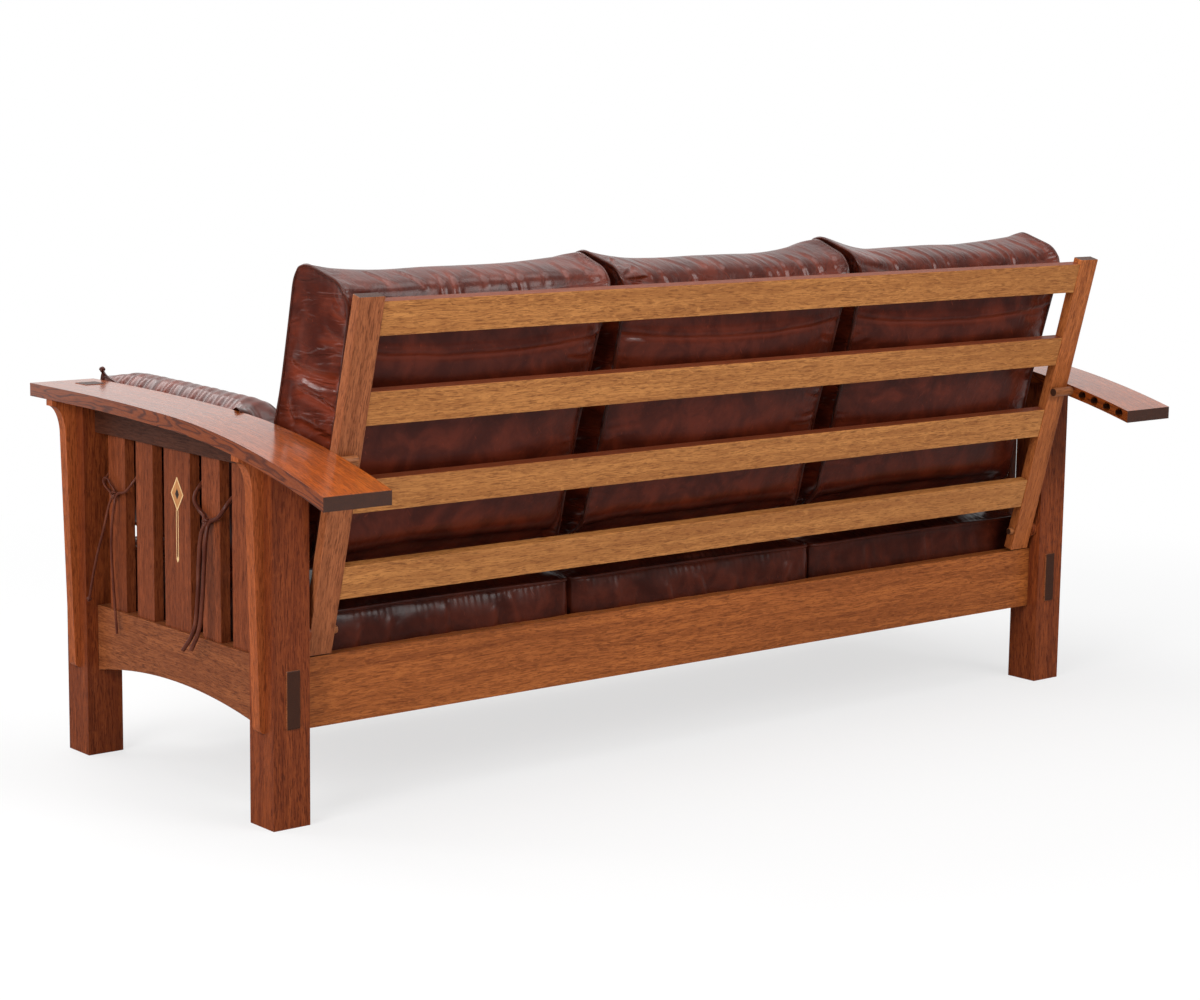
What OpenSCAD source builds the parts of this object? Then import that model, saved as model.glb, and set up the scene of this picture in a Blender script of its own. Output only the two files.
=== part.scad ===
// Three-seat mission sofa with bowed arms, slatted sides, a tilting slat back and loose leather cushions.
// The front faces -Y, the sitter's left is +X, and the floor is at Z = 0.

/* [Base] */
// Width over the outer faces of the legs
base_w = 2060; // [1900:10:2240]
// Depth from the front faces of the front legs to the rear faces of the rear legs
base_d = 735; // [700:5:780]
// Side of the square legs
leg_w = 76; // [72:1:84]

/* [Arms] */
// Height of the arm's top at its level front
arm_z = 718.5; // [700:1:745]
// Width of an arm
arm_w = 137; // [128:1:150]
// Thickness of an arm
arm_t = 25; // [24:1:30]
// How far the arm stands out past the leg's outer face
arm_out = 52; // [44:1:60]
// How far the arm reaches in front of the front leg
arm_front = 34.5; // [20:0.5:60]
// How far the arm reaches behind the rear leg
arm_rear = 236.5; // [220:0.5:260]
// Length of the arm's level front stretch
arm_level = 130; // [115:5:180]
// Length of the easy bend behind the level stretch
arm_easy = 380; // [300:10:440]
// Radius of the easy bend
arm_easy_r = 9000; // [7000:100:12000]
// Radius of the bow at the rear of the arm
arm_bow_r = 2000; // [1900:50:2600]

/* [Joinery] */
// Side of the square tenon at a leg's top
top_tenon_w = 44; // [38:1:50]
// How far the front leg's tenon stands proud of the arm
tenon_proud = 1.2; // [0.5:0.1:3]
// Depth of the rear leg's blind tenon in the arm
stub_depth = 12; // [8:1:16]
// Shoulder above and below a rail's tenon
tenon_shoulder = 11; // [8:1:16]
// Length of the end rails' blind tenons in the legs
rail_tenon_l = 18; // [10:1:20]
// Thickness of the end rails' blind tenons
rail_tenon_t = 16; // [12:1:20]
// How far the side rails' through tenons stand out of the legs
through_proud = 3; // [2:0.5:6]
// Chamfer on the ends of the through tenons
tenon_chamfer = 1.5; // [0.5:0.25:2]

/* [Rails] */
// Height of the rails' lower edges above the floor
rail_z = 167; // [150:1:190]
// Height of the seat rails and the lower side rails
rail_h = 128; // [120:1:140]
// Rise of the arches in the front and side rails
arch_rise = 30; // [15:1:40]
// Setback of the front and rear rails from the legs' outer faces
end_rail_in = 28.5; // [22:0.5:34]
// Thickness of the front and rear rails
end_rail_t = 30; // [24:1:34]
// Setback of the side rails from the legs' outer faces
side_rail_in = 24.5; // [22:0.5:28]
// Thickness of the side rails
side_rail_t = 32; // [28:1:34]
// Thickness of the side rails' through tenons
side_tenon_t = 29; // [22:1:30]
// Height of the upper side rails' lower edges
upper_rail_z = 630; // [600:1:640]
// Length of the upper side rails' blind tenons
upper_tenon_l = 20; // [12:1:30]
// Height of the upper side rails' blind tenons
upper_tenon_h = 24; // [16:1:28]
// Thickness of the upper side rails' blind tenons
upper_tenon_t = 12; // [8:1:16]
// Shoulder below the upper side rails' tenons
upper_shoulder = 6; // [3:1:10]

/* [Side slats] */
// Number of slats in a side, the middle one being the wide one
slat_count = 5; // [3, 5]
// Width of the plain slats
slat_w = 62; // [50:1:66]
// Width of the middle slat
mid_slat_w = 92; // [80:1:100]
// Thickness of the slats
slat_t = 20; // [16:1:24]
// How deep the slats stand in the rails
slat_tongue = 12; // [8:1:16]

/* [Corbels] */
// Thickness of the corbels
corbel_t = 24; // [18:1:30]
// Projection of the corbels under the arm
corbel_top = 50; // [40:1:51]
// Height of the corbels' square upper lip
corbel_lip = 12; // [6:1:18]
// Height of the hollow under the lip
corbel_hollow = 58; // [45:1:75]
// Projection where the hollow ends
corbel_waist = 23; // [18:1:28]
// Projection above the rounded lower end
corbel_foot = 11; // [7:1:15]
// Height of the corbels' lower tips above the rails' lower edges
corbel_tip = 4; // [0:1:20]

/* [Back frame] */
// Length of the stiles
stile_l = 665; // [640:5:690]
// Width of the stiles
stile_w = 52.5; // [46:0.5:58]
// Thickness of the stiles
stile_t = 22; // [20:0.5:26]
// Height of a back rail
back_rail_h = 62.5; // [56:0.5:68]
// Thickness of the back rails
back_rail_t = 20; // [16:0.5:20.5]
// Setback of the back rails from the stiles' rear faces
back_rail_in = 1.5; // [0.5:0.5:3]
// Distance from the stiles' lower ends to the lowest back rail
back_rail_first = 102.5; // [96:0.5:108]
// Distance from one back rail to the next
back_rail_pitch = 163.5; // [156:0.5:165]
// Number of back rails
back_rail_count = 4; // [4]
// Length of the back rails' blind tenons
back_tenon_l = 30; // [16:1:36]
// Thickness of the back rails' blind tenons
back_tenon_t = 10; // [6:1:12]
// Shoulder above and below the back rails' tenons
back_tenon_shoulder = 9; // [6:1:14]

/* [Pivots and pegs] */
// Diameter of the pivot pins
pin_d = 15; // [12:0.5:16]
// Height of the pivot axis above the floor
pivot_z = 340; // [336:1:350]
// Distance of the pivot axis in front of the rear legs' rear faces
pivot_in = 25.7; // [24:0.1:30]
// Distance of the pivot axis from the stiles' lower ends
pivot_up = 41; // [36:1:43]
// How far the pins stand out of the stiles' inner faces
pin_proud = 10; // [4:1:12]
// How deep the pins stand in the legs
pin_grip = 30; // [20:1:40]
// Width of the space between a stile and the leg beside it
stile_gap = 10.5; // [10:0.5:14]
// Outside diameter of the spacing washers on the pins
washer_d = 34; // [26:1:38]
// Diameter of the support pegs
peg_d = 19; // [16:0.5:19]
// Depth of the peg holes in the arms
peg_hole_l = 42; // [30:1:60]
// Distance of the first peg hole behind the rear leg
peg_first = 77; // [70:1:90]
// Distance from one peg hole to the next
peg_pitch = 34; // [30:0.5:36]
// Number of peg holes in an arm
peg_holes = 5; // [3:1:5]
// How far the left peg's end stands back from the stile's inner face
left_peg_back = 16; // [0:1:20]
// Chamfer on the pegs' and pins' ends
peg_chamfer = 1.5; // [0.5:0.25:2.5]

/* [Seat deck] */
// Height of the deck's top at its rear edge
deck_z = 236; // [225:1:245]
// Slope of the deck, rising to the front
deck_slope = 5; // [3:0.25:5]
// Thickness of the deck slats
deck_t = 18; // [14:1:20]
// Number of deck slats
deck_count = 14; // [10:1:16]
// Width of a deck slat
deck_slat_w = 70; // [50:1:80]
// Height of the cleats that carry the deck
cleat_h = 30; // [24:1:34]
// Depth of the cleats
cleat_w = 24; // [20:1:28]
// Number of screws in a cleat
screw_count = 6; // [4:1:9]
// Diameter of a screw's shank
screw_d = 5; // [4:0.5:6]
// Diameter of a screw's head
screw_head_d = 9; // [8:0.5:11]
// Length of a screw
screw_l = 40; // [34:1:46]
// Distance of the screws below the middle of the cleats
screw_low = 3; // [0:1:5]

/* [Seat cushions] */
// Height of the boxing of the seat cushions
seat_boxing = 125; // [110:1:130]
// Crown of the seat cushions' tops
seat_crown = 42; // [25:1:44]
// Bulge of the seat cushions' front and rear boxing
seat_bulge = 4; // [2:0.5:8]
// How far the cushions' edges draw in between their corners
draw_in = 7; // [4:0.5:10]
// Gap between two seat cushions where they come closest
cushion_gap = 0.6; // [0.4:0.1:6]

/* [Back cushions] */
// Distance from the frame's rear face to the cushions' rear piping
back_set = 50; // [48:1:60]
// Depth of the back cushions' boxing
back_boxing = 155; // [140:1:165]
// Height of the rear upper piping along the stiles
back_cushion_top = 658; // [630:1:665]
// Height of the rear lower piping along the stiles
back_cushion_low = 165; // [160:1:180]
// Height of the front lower piping along the stiles
back_cushion_toe = 77; // [77:1:100]
// Crown of the back cushions' front faces
front_crown = 30; // [15:1:32]
// Crown of the back cushions' tops
top_crown = 12; // [6:1:30]
// How far the back cushions' rear corners draw in beside each other
rear_inset = 12; // [6:1:30]
// Room left beside the row of back cushions at the right arm
back_row_room = 51.6; // [30:0.2:120]
// Sag of the back cushions' undersides
under_crown = 12; // [4:1:12]

/* [Side pillows] */
// Distance from the pillows' rear ends to the back cushions' lower front corners
pillow_behind = 20.5; // [19:0.1:80]
// Distance of the pillows' front corners in front of the front legs' front faces
pillow_front = 26; // [-10:1:27]
// Height of the pillows' front upper corners
pillow_z = 726; // [700:1:730]
// Drop of the pillows' upper edge towards the rear
pillow_drop = 12; // [0:1:40]
// Thickness of the pillows between their pipings
pillow_t = 88; // [70:1:100]
// Distance from the arm's inner edge to the pillow's outer piping
pillow_in = 15; // [14:1:24]
// Crown of the pillows' broad faces
pillow_crown = 31; // [20:1:32]
// Crown of the pillows' tops
pillow_top_crown = 11; // [4:1:12]

/* [Ties] */
// Diameter of the front leather laces
front_lace_d = 5; // [4:0.5:6]
// Diameter of the rear leather laces
rear_lace_d = 8; // [6:0.5:8]
// Diameter of the knots
knot_d = 17; // [12:1:20]

/* [Inlay] */
// Depth of the inlays in the middle slats
inlay_t = 2; // [1:0.25:3]
// Height of the lozenge
lozenge_h = 64; // [50:1:80]
// Width of the lozenge
lozenge_w = 44; // [30:1:56]
// Width of the light banding round the lozenge
band_w = 3; // [2:0.25:5]
// Width of a stringing line
string_w = 1.6; // [1:0.1:3]
// Distance between the two stringing lines
string_gap = 6.4; // [4:0.2:10]
// Length of the stringing lines below the lozenge
string_l = 92; // [60:1:120]
// Height of the dark lozenge in the middle
core_h = 21; // [12:1:30]
// Height of the small diamond that ends the lines
diamond_h = 12; // [10:0.5:16]
// Height of the lozenge's centre below the upper rail
lozenge_drop = 82; // [70:1:140]

/* [Fits] */
// Running clearance on radius between pins, pegs and their bores
run_fit = 0.05; // [0.02:0.01:0.1]
// Clearance on radius where a pin or screw is fixed
set_fit = 0.01; // [0.01:0.01:0.04]
// Clearance between a resting piece and what it rests on
rest_fit = 0.3; // [0.2:0.05:0.5]
// Clearance between the stiles and the arms, washers and pegs beside them
side_fit = 0.2; // [0.1:0.05:0.5]

/* [Hidden] */
$fn = 72;
SIDES = ["left", "right"];

// Colours of the finishes
oak = "#7a3f1c";
oak_light = "#a8672f";
end_grain = "#4a2412";
leather = "#4c1f16";
lace = "#5a2a1a";
maple = "#d9b98a";
ebony = "#241a14";
steel = "#8d8f92";

// Overhang of a cutting shape past the face that it cuts
cut = 1;

// Places across the depth, with the arms' ends at equal distances from the origin
depth = arm_front + base_d + arm_rear;
rear_y = depth / 2 - arm_rear;
front_y = rear_y - base_d;
arm_y0 = -depth / 2;
bay_y0 = front_y + leg_w;
bay_l = base_d - 2 * leg_w;

// Places across the width
leg_x = base_w / 2;
bay_x = leg_x - leg_w;
arm_x = leg_x + arm_out;
arm_in_x = arm_x - arm_w;
side_rail_x = leg_x - side_rail_in;

// Drop of the arm's top below its level front, at a distance from its front end
easy_drop = arm_easy * arm_easy / (2 * arm_easy_r);
easy_slope = arm_easy / arm_easy_r;
arm_bow = arm_level + arm_easy;
function arm_drop(u) =
    u <= arm_level ? 0
    : u <= arm_bow ? pow(u - arm_level, 2) / (2 * arm_easy_r)
    : easy_drop + easy_slope * (u - arm_bow) + pow(u - arm_bow, 2) / (2 * arm_bow_r);
function arm_top(y) = arm_z - arm_drop(y - arm_y0);
function arm_under(y) = arm_top(y) - arm_t;
arm_steps = 36;
arm_ys = [arm_y0, for (i = [0 : arm_steps]) arm_y0 + arm_level + (depth - arm_level) * i / arm_steps];

// Tilt of the back, set by the pegs in the first holes
pivot_y = rear_y - pivot_in;
peg_r = peg_d / 2;
peg_y = rear_y + peg_first;
function peg_z(y) = arm_top(y) - arm_t / 2;
peg_reach = norm([peg_y - pivot_y, peg_z(peg_y) - pivot_z]);
peg_off = stile_t / 2 + peg_r + side_fit / 2;
lean = atan2(peg_y - pivot_y, peg_z(peg_y) - pivot_z) - asin(peg_off / peg_reach);

// Places along the back frame, from its pivot axis
stile_x = bay_x - stile_gap;
stile_in_x = stile_x - stile_w;

// Deck and seat
deck_y1 = rear_y - end_rail_in - end_rail_t - rest_fit;
deck_y0 = front_y + end_rail_in + end_rail_t + rest_fit;
seat_rise = tan(deck_slope);
function deck_top(y) = deck_z + (deck_y1 - y) * seat_rise;
seat_w = 2 * (bay_x - cushion_gap) / 3;
seat_y0 = deck_y0 + seat_bulge;
seat_y1 = deck_y1 - seat_bulge;
seat_d = seat_y1 - seat_y0;
cleat_l = 2 * bay_x - 2 * leg_w;
screw_cone = (screw_head_d - screw_d) / 2;

// Slats, from the front leg to the rear leg
mid_slat = (slat_count + 1) / 2;
slat_gap = (bay_l - (slat_count - 1) * slat_w - mid_slat_w) / (slat_count + 1);
function slat_width(i) = i == mid_slat ? mid_slat_w : slat_w;
function slat_y(i) = bay_y0 + i * slat_gap + (i - 1) * slat_w + (i > mid_slat ? mid_slat_w - slat_w : 0);
slat_x = side_rail_x - (side_rail_t - slat_t) / 2;
inlay_y = slat_y(mid_slat) + mid_slat_w / 2;
inlay_z = upper_rail_z - lozenge_drop;

// Routes of the laces on the left side: out of the pillow, round a slat, to the knot and down.
// They are given from the top front corner of the slat that they go round.
front_slat = [slat_x, slat_y(1), upper_rail_z];
rear_slat = [slat_x, slat_y(slat_count - 1), upper_rail_z];
function placed(route, corner) = [for (p = route) p + corner];
lace_front_a = placed([
    [-49.5, -12, -34], [-27.5, -16, -62], [-7.5, -16, -80], [4.5, -8, -94],
    [5.5, 6, -104], [8.5, 28, -110], [14.5, 26, -130], [20.5, 13, -180],
    [28.5, -3, -240], [36.5, -18, -319]], front_slat);
lace_front_b = placed([
    [-47.5, 74, -34], [-27.5, 84, -56], [-7.5, 90, -74], [4.5, 86, -90],
    [5.5, 68, -102], [8.5, 44, -110], [13.5, 43, -130], [15.5, 34, -196],
    [15.5, 38, -273], [16.5, 52, -375]], front_slat);
lace_rear_a = placed([
    [-53.5, -15.5, -24], [-31.5, -23.5, -42], [-7.5, -23.5, -64], [4.5, -17.5, -82],
    [5.5, 0.5, -99], [8.5, 24.5, -113], [16.5, 24.5, -140], [23.5, 26.5, -196],
    [31.5, 34.5, -256], [37.5, 28.5, -315], [42.5, 0.5, -353]], rear_slat);
lace_rear_b = placed([
    [-69.5, 34.5, -40], [-35.5, 72.5, -56], [-7.5, 80.5, -76], [4.5, 78.5, -92],
    [5.5, 62.5, -106], [8.5, 38.5, -118], [16.5, 40.5, -142], [23.5, 44.5, -196],
    [31.5, 50.5, -256], [37.5, 47.5, -310], [42.5, 28.5, -348]], rear_slat);
knot_front = front_slat + [8.5, 36, -110];
knot_rear = rear_slat + [9.5, 31.5, -117];
lace_sides = 8;

// Swept tube along a route of points
function unit(v) = v / norm(v);
function tangents(p) = [for (i = [0 : len(p) - 1]) unit(p[min(i + 1, len(p) - 1)] - p[max(i - 1, 0)])];
function square_to(n, t) = unit(n - (n * t) * t);
function carried(t) = [
    for (i = 0, n = square_to([0, 1, 0], t[0]); i < len(t);
        i = i + 1, n = i < len(t) ? square_to(n, t[i]) : n) n
];
module tube(p, d) {
    t = tangents(p);
    n = carried(t);
    last = len(p) - 1;
    points = [
        for (i = [0 : last]) for (k = [0 : lace_sides - 1])
            let (a = 360 * k / lace_sides) p[i] + d / 2 * (cos(a) * n[i] + sin(a) * cross(t[i], n[i]))
    ];
    function at(i, k) = i * lace_sides + k % lace_sides;
    walls = [for (i = [0 : last - 1]) for (k = [0 : lace_sides - 1]) for (f = [
        [at(i, k), at(i + 1, k), at(i, k + 1)], [at(i, k + 1), at(i + 1, k), at(i + 1, k + 1)]]) f];
    ends = [for (k = [1 : lace_sides - 2]) for (f = [
        [at(0, 0), at(0, k), at(0, k + 1)], [at(last, 0), at(last, k + 1), at(last, k)]]) f];
    polyhedron(points, concat(walls, ends), convexity = 6);
}

// Stuffed form between eight corners: a runs along X, b along the length, c through the thickness.
// The corners are listed as [c][b][a].
// The crowns are those of both ends in a, of the ends b = 0 and b = 1, and of the faces c = 0 and c = 1.
form_steps = 9;
crown_power = 0.62;
function bump(q) = 4 * q * (1 - q);
function mix(p, q, s) = p + (q - p) * s;
function swell(u, v) = pow(bump(u) * bump(v), crown_power);
function form_point(k, crowns, axes, tuck, a, b, c) =
    let (
        low = mix(mix(k[0][0][0], k[0][0][1], a), mix(k[0][1][0], k[0][1][1], a), b),
        high = mix(mix(k[1][0][0], k[1][0][1], a), mix(k[1][1][0], k[1][1][1], a), b),
        edge = tuck * (1 - bump(c)),
        end = b < 0.5 ? crowns[1] : crowns[2],
        face = c < 0.5 ? crowns[3] : crowns[4],
        across = (2 * a - 1) * (crowns[0] * swell(b, c) - edge * bump(b)),
        along = (2 * b - 1) * (end * swell(a, c) - edge * bump(a)),
        through = (2 * c - 1) * face * swell(a, b)
    )
    mix(low, high, c) + across * axes[0] + along * axes[1] + through * axes[2];
module stuffed(k, crowns, axes, tuck) {
    n = form_steps;
    m = n + 1;
    sheet = m * m;
    function sides(u, v) = [[0, u, v], [1, v, u], [v, 0, u], [u, 1, v], [u, v, 0], [v, u, 1]];
    points = [for (f = [0 : 5]) for (i = [0 : n]) for (j = [0 : n])
        let (s = sides(i / n, j / n)[f]) form_point(k, crowns, axes, tuck, s[0], s[1], s[2])];
    faces = [for (f = [0 : 5]) for (i = [0 : n - 1]) for (j = [0 : n - 1])
        let (q = f * sheet + i * m + j) for (t = [[q, q + 1, q + m], [q + 1, q + m + 1, q + m]]) t];
    polyhedron(points, faces, convexity = 4);
}

// Left or right of the sofa: the right is the mirror image of the left
module on_side(side) {
    if (side == "left") children();
    else mirror([1, 0, 0]) children();
}

// Block from its low corner to its high corner
module block(low, high) {
    translate(low) cube(high - low);
}

// Outline in Y and Z, extruded from x0 to x1
module side_profile(x0, x1) {
    translate([x0, 0, 0]) rotate([90, 0, 90]) linear_extrude(x1 - x0) children();
}

// Everything below the arm's underside
module under_arm() {
    side_profile(0, arm_x + cut) polygon(concat(
        [[arm_ys[0], -cut]],
        [for (y = arm_ys) [y, arm_under(y)]],
        [[depth / 2, -cut]]));
}

// Rail outline with an arched lower edge, from its lower left corner
arch_steps = 24;
module arched(l, h, rise) {
    polygon(concat([[l, h], [0, h]],
        [for (i = [0 : arch_steps]) [l * i / arch_steps, rise * bump(i / arch_steps)]]));
}

// Round bar along X from x0 to x1, with chamfered ends
module bar(x0, x1, d, chamfer) {
    l = x1 - x0;
    r = d / 2;
    translate([x0, 0, 0]) rotate([0, 90, 0]) rotate_extrude()
        polygon([[0, 0], [r - chamfer, 0], [r, chamfer], [r, l - chamfer], [r - chamfer, l], [0, l]]);
}

// Round hole along X
module bore(x0, x1, r) {
    translate([x0, 0, 0]) rotate([0, 90, 0]) cylinder(h = x1 - x0, r = r);
}

// Outline of a bar w wide that ends at height h, with chamfered corners there
module ended(w, h, chamfer) {
    x = w / 2;
    z = h - chamfer;
    polygon([[-x, 0], [x, 0], [x, z], [x - chamfer, h], [chamfer - x, h], [-x, z]]);
}

// Tenon of w by d that rises h, with chamfers round its end
module tenon_end(w, d, h, chamfer) {
    intersection() {
        rotate([90, 0, 0]) linear_extrude(d, center = true) ended(w, h, chamfer);
        rotate([90, 0, 90]) linear_extrude(w, center = true) ended(d, h, chamfer);
    }
}

// Square tenon from z0 to z1, centred on a leg
module top_tenon(y, z0, z1, chamfer) {
    translate([leg_x - leg_w / 2, y, z0]) tenon_end(top_tenon_w, top_tenon_w, z1 - z0, chamfer);
}

// Side rail tenon that runs through a leg from y0 to y1
module through_tenon(y0, y1) {
    x0 = side_rail_x - side_rail_t / 2 - side_tenon_t / 2;
    block([x0, y0, rail_z + tenon_shoulder], [x0 + side_tenon_t, y1, rail_z + rail_h - tenon_shoulder]);
}

// Seat rail tenons at both ends, in legs whose outer face lies at y, with the rail on the side given by dir
module end_rail_tenons(y, dir) {
    y0 = y + dir * (end_rail_in + end_rail_t / 2) - rail_tenon_t / 2;
    z0 = rail_z + tenon_shoulder;
    z1 = rail_z + rail_h - tenon_shoulder;
    for (x0 = [-bay_x - rail_tenon_l, bay_x - cut])
        block([x0, y0, z0], [x0 + rail_tenon_l + cut, y0 + rail_tenon_t, z1]);
}

// Upper side rail tenons, at both ends of the bay between the legs
module upper_tenons() {
    x0 = side_rail_x - side_rail_t / 2 - upper_tenon_t / 2;
    z0 = upper_rail_z + upper_shoulder;
    block([x0, bay_y0 - upper_tenon_l, z0],
        [x0 + upper_tenon_t, bay_y0 + bay_l + upper_tenon_l, z0 + upper_tenon_h]);
}

module leg_block(y0) {
    intersection() {
        block([bay_x, y0, 0], [leg_x, y0 + leg_w, arm_z]);
        under_arm();
    }
}

module leg_front() {
    color(oak) difference() {
        union() {
            leg_block(front_y);
            top_tenon(front_y + leg_w / 2, arm_under(bay_y0) - cut, arm_z + tenon_proud, tenon_proud);
        }
        through_tenon(front_y - cut, bay_y0 + cut);
        end_rail_tenons(front_y, 1);
        upper_tenons();
    }
}

module leg_rear() {
    y = rear_y - leg_w / 2;
    color(oak) difference() {
        union() {
            leg_block(rear_y - leg_w);
            top_tenon(y, arm_under(rear_y) - 2 * cut, arm_under(rear_y) + stub_depth, 0);
        }
        through_tenon(rear_y - leg_w - cut, rear_y + cut);
        end_rail_tenons(rear_y, -1);
        upper_tenons();
        translate([0, pivot_y, pivot_z]) bore(bay_x - cut, bay_x + pin_grip, pin_d / 2 + set_fit);
    }
}

module arm() {
    color(oak) difference() {
        side_profile(arm_in_x, arm_x) polygon(concat(
            [for (y = arm_ys) [y, arm_top(y)]],
            [for (i = [len(arm_ys) - 1 : -1 : 0]) [arm_ys[i], arm_under(arm_ys[i])]]));
        top_tenon(front_y + leg_w / 2, arm_under(bay_y0) - cut, arm_z + cut, 0);
        top_tenon(rear_y - leg_w / 2, arm_under(rear_y) - 2 * cut, arm_under(rear_y) + stub_depth, 0);
        for (i = [0 : peg_holes - 1]) {
            y = peg_y + i * peg_pitch;
            translate([0, y, peg_z(y)]) bore(arm_in_x - cut, arm_in_x + peg_hole_l, peg_r + run_fit);
        }
    }
}

module lower_side_rail() {
    color(oak) difference() {
        union() {
            side_profile(side_rail_x - side_rail_t, side_rail_x)
                translate([bay_y0, rail_z]) arched(bay_l, rail_h, arch_rise);
            tenon_to(bay_y0, -1);
            tenon_to(bay_y0 + bay_l, 1);
        }
        slat_sockets(rail_z + rail_h - slat_tongue, rail_z + rail_h + cut);
    }
}

// Through tenon from the rail's shoulder at y to just outside the leg, pointing along dir
module tenon_to(y, dir) {
    translate([side_rail_x - side_rail_t / 2, y - dir * cut, rail_z + rail_h / 2]) rotate([-90 * dir, 0, 0])
        tenon_end(side_tenon_t, rail_h - 2 * tenon_shoulder, leg_w + through_proud + cut, tenon_chamfer);
}

module upper_side_rail() {
    color(oak) difference() {
        union() {
            intersection() {
                block([side_rail_x - side_rail_t, bay_y0, upper_rail_z],
                    [side_rail_x, bay_y0 + bay_l, arm_z]);
                under_arm();
            }
            upper_tenons();
        }
        slat_sockets(upper_rail_z - cut, upper_rail_z + slat_tongue);
    }
}

// Sockets for the slats' ends
module slat_sockets(z0, z1) {
    for (i = [1 : slat_count])
        block([slat_x - slat_t, slat_y(i), z0], [slat_x, slat_y(i) + slat_width(i), z1]);
}

module side_slat(i) {
    color(oak) difference() {
        block([slat_x - slat_t, slat_y(i), rail_z + rail_h - slat_tongue],
            [slat_x, slat_y(i) + slat_width(i), upper_rail_z + slat_tongue]);
        if (i == mid_slat) inlay_shape(cut);
    }
}

// Lozenge of a given height, drawn in Y and Z about its centre
module lozenge(h) {
    w = h * lozenge_w / lozenge_h;
    polygon([[-w / 2, 0], [0, -h / 2], [w / 2, 0], [0, h / 2]]);
}

// One stringing line, from below the lozenge down to its small diamond
string_drop = lozenge_h / 2 - string_w * lozenge_h / lozenge_w;
module strings() {
    for (s = [-1, 1])
        translate([s * string_gap / 2 - string_w / 2, -string_drop - string_l]) square([string_w, string_l]);
    translate([0, -string_drop - string_l]) lozenge(diamond_h);
}

// Whole outline of the inlay, set into the outer face of the middle slat
module inlay_outline() {
    lozenge(lozenge_h);
    strings();
}

module inlay_shape(over) {
    translate([0, inlay_y, inlay_z]) side_profile(slat_x - inlay_t, slat_x + over) inlay_outline();
}

module inlay() {
    inner_h = lozenge_h * (1 - 2 * band_w / lozenge_w);
    color(maple) translate([0, inlay_y, inlay_z]) side_profile(slat_x - inlay_t, slat_x) difference() {
        inlay_outline();
        lozenge(inner_h);
    }
    color(oak_light) translate([0, inlay_y, inlay_z]) side_profile(slat_x - inlay_t, slat_x) difference() {
        lozenge(inner_h);
        lozenge(core_h);
    }
    color(ebony) translate([0, inlay_y, inlay_z]) side_profile(slat_x - inlay_t, slat_x) lozenge(core_h);
}

// Straight seat rail with blind tenons, in legs whose outer face lies at y
module end_rail(y, dir, rise) {
    x0 = -bay_x;
    y0 = min(y + dir * end_rail_in, y + dir * (end_rail_in + end_rail_t));
    color(oak) difference() {
        union() {
            translate([x0, y0 + end_rail_t, rail_z]) rotate([90, 0, 0]) linear_extrude(end_rail_t)
                arched(2 * bay_x, rail_h, rise);
            end_rail_tenons(y, dir);
        }
        screw_holes(y, dir);
    }
}

module front_rail() {
    end_rail(front_y, 1, arch_rise);
}

module rear_rail() {
    end_rail(rear_y, -1, 0);
}

// Corbel outline in X and Z, from the leg's face and the arm's underside
hollow_steps = 12;
module corbel_outline(h) {
    hollow = corbel_top - corbel_waist;
    polygon(concat(
        [[0, 0], [corbel_top, 0], [corbel_top, -corbel_lip]],
        [for (i = [1 : hollow_steps]) let (a = 90 * i / hollow_steps)
            [corbel_top - hollow * sin(a), -corbel_lip - corbel_hollow * (1 - cos(a))]],
        [for (i = [0 : hollow_steps]) let (a = 90 * i / hollow_steps)
            [corbel_foot * cos(a), -h + corbel_foot * (1 - sin(a))]]));
}

module corbel(y) {
    top = arm_under(y - corbel_t / 2);
    color(oak) intersection() {
        translate([leg_x, y + corbel_t / 2, top]) rotate([90, 0, 0]) linear_extrude(corbel_t)
            corbel_outline(top - rail_z - corbel_tip);
        under_arm();
    }
}

// Back frame pieces are drawn about the pivot axis with the stiles upright, then tilted
module on_back() {
    translate([0, pivot_y, pivot_z]) rotate([-lean, 0, 0]) children();
}

function back_rail_z(i) = back_rail_first + (i - 1) * back_rail_pitch - pivot_up;
back_rail_y1 = stile_t / 2 - back_rail_in;
back_tenon_y = back_rail_y1 - back_rail_t / 2;

module back_tenons(i) {
    z0 = back_rail_z(i) + back_tenon_shoulder;
    z1 = back_rail_z(i) + back_rail_h - back_tenon_shoulder;
    for (x0 = [-stile_in_x - back_tenon_l, stile_in_x - cut])
        block([x0, back_tenon_y - back_tenon_t / 2, z0],
            [x0 + back_tenon_l + cut, back_tenon_y + back_tenon_t / 2, z1]);
}

module back_stile() {
    color(oak) on_back() difference() {
        block([stile_in_x, -stile_t / 2, -pivot_up], [stile_x, stile_t / 2, stile_l - pivot_up]);
        for (i = [1 : back_rail_count]) back_tenons(i);
        bore(stile_in_x - cut, stile_x + cut, pin_d / 2 + run_fit);
    }
}

// Back rails are numbered from the top
module back_rail(i) {
    up = back_rail_count + 1 - i;
    color(oak_light) on_back() union() {
        block([-stile_in_x, back_rail_y1 - back_rail_t, back_rail_z(up)],
            [stile_in_x, back_rail_y1, back_rail_z(up) + back_rail_h]);
        back_tenons(up);
    }
}

module pivot_pin() {
    color(end_grain) translate([0, pivot_y, pivot_z])
        bar(stile_in_x - pin_proud, bay_x + pin_grip, pin_d, peg_chamfer);
}

module pivot_washer() {
    color(end_grain) translate([0, pivot_y, pivot_z]) difference() {
        bore(stile_x + side_fit, bay_x, washer_d / 2);
        bore(stile_x, bay_x + cut, pin_d / 2 + run_fit);
    }
}

module support_peg(back) {
    color(oak_light) translate([0, peg_y, peg_z(peg_y)])
        bar(stile_in_x + back, arm_in_x + peg_hole_l - side_fit, peg_d, peg_chamfer);
}

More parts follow.
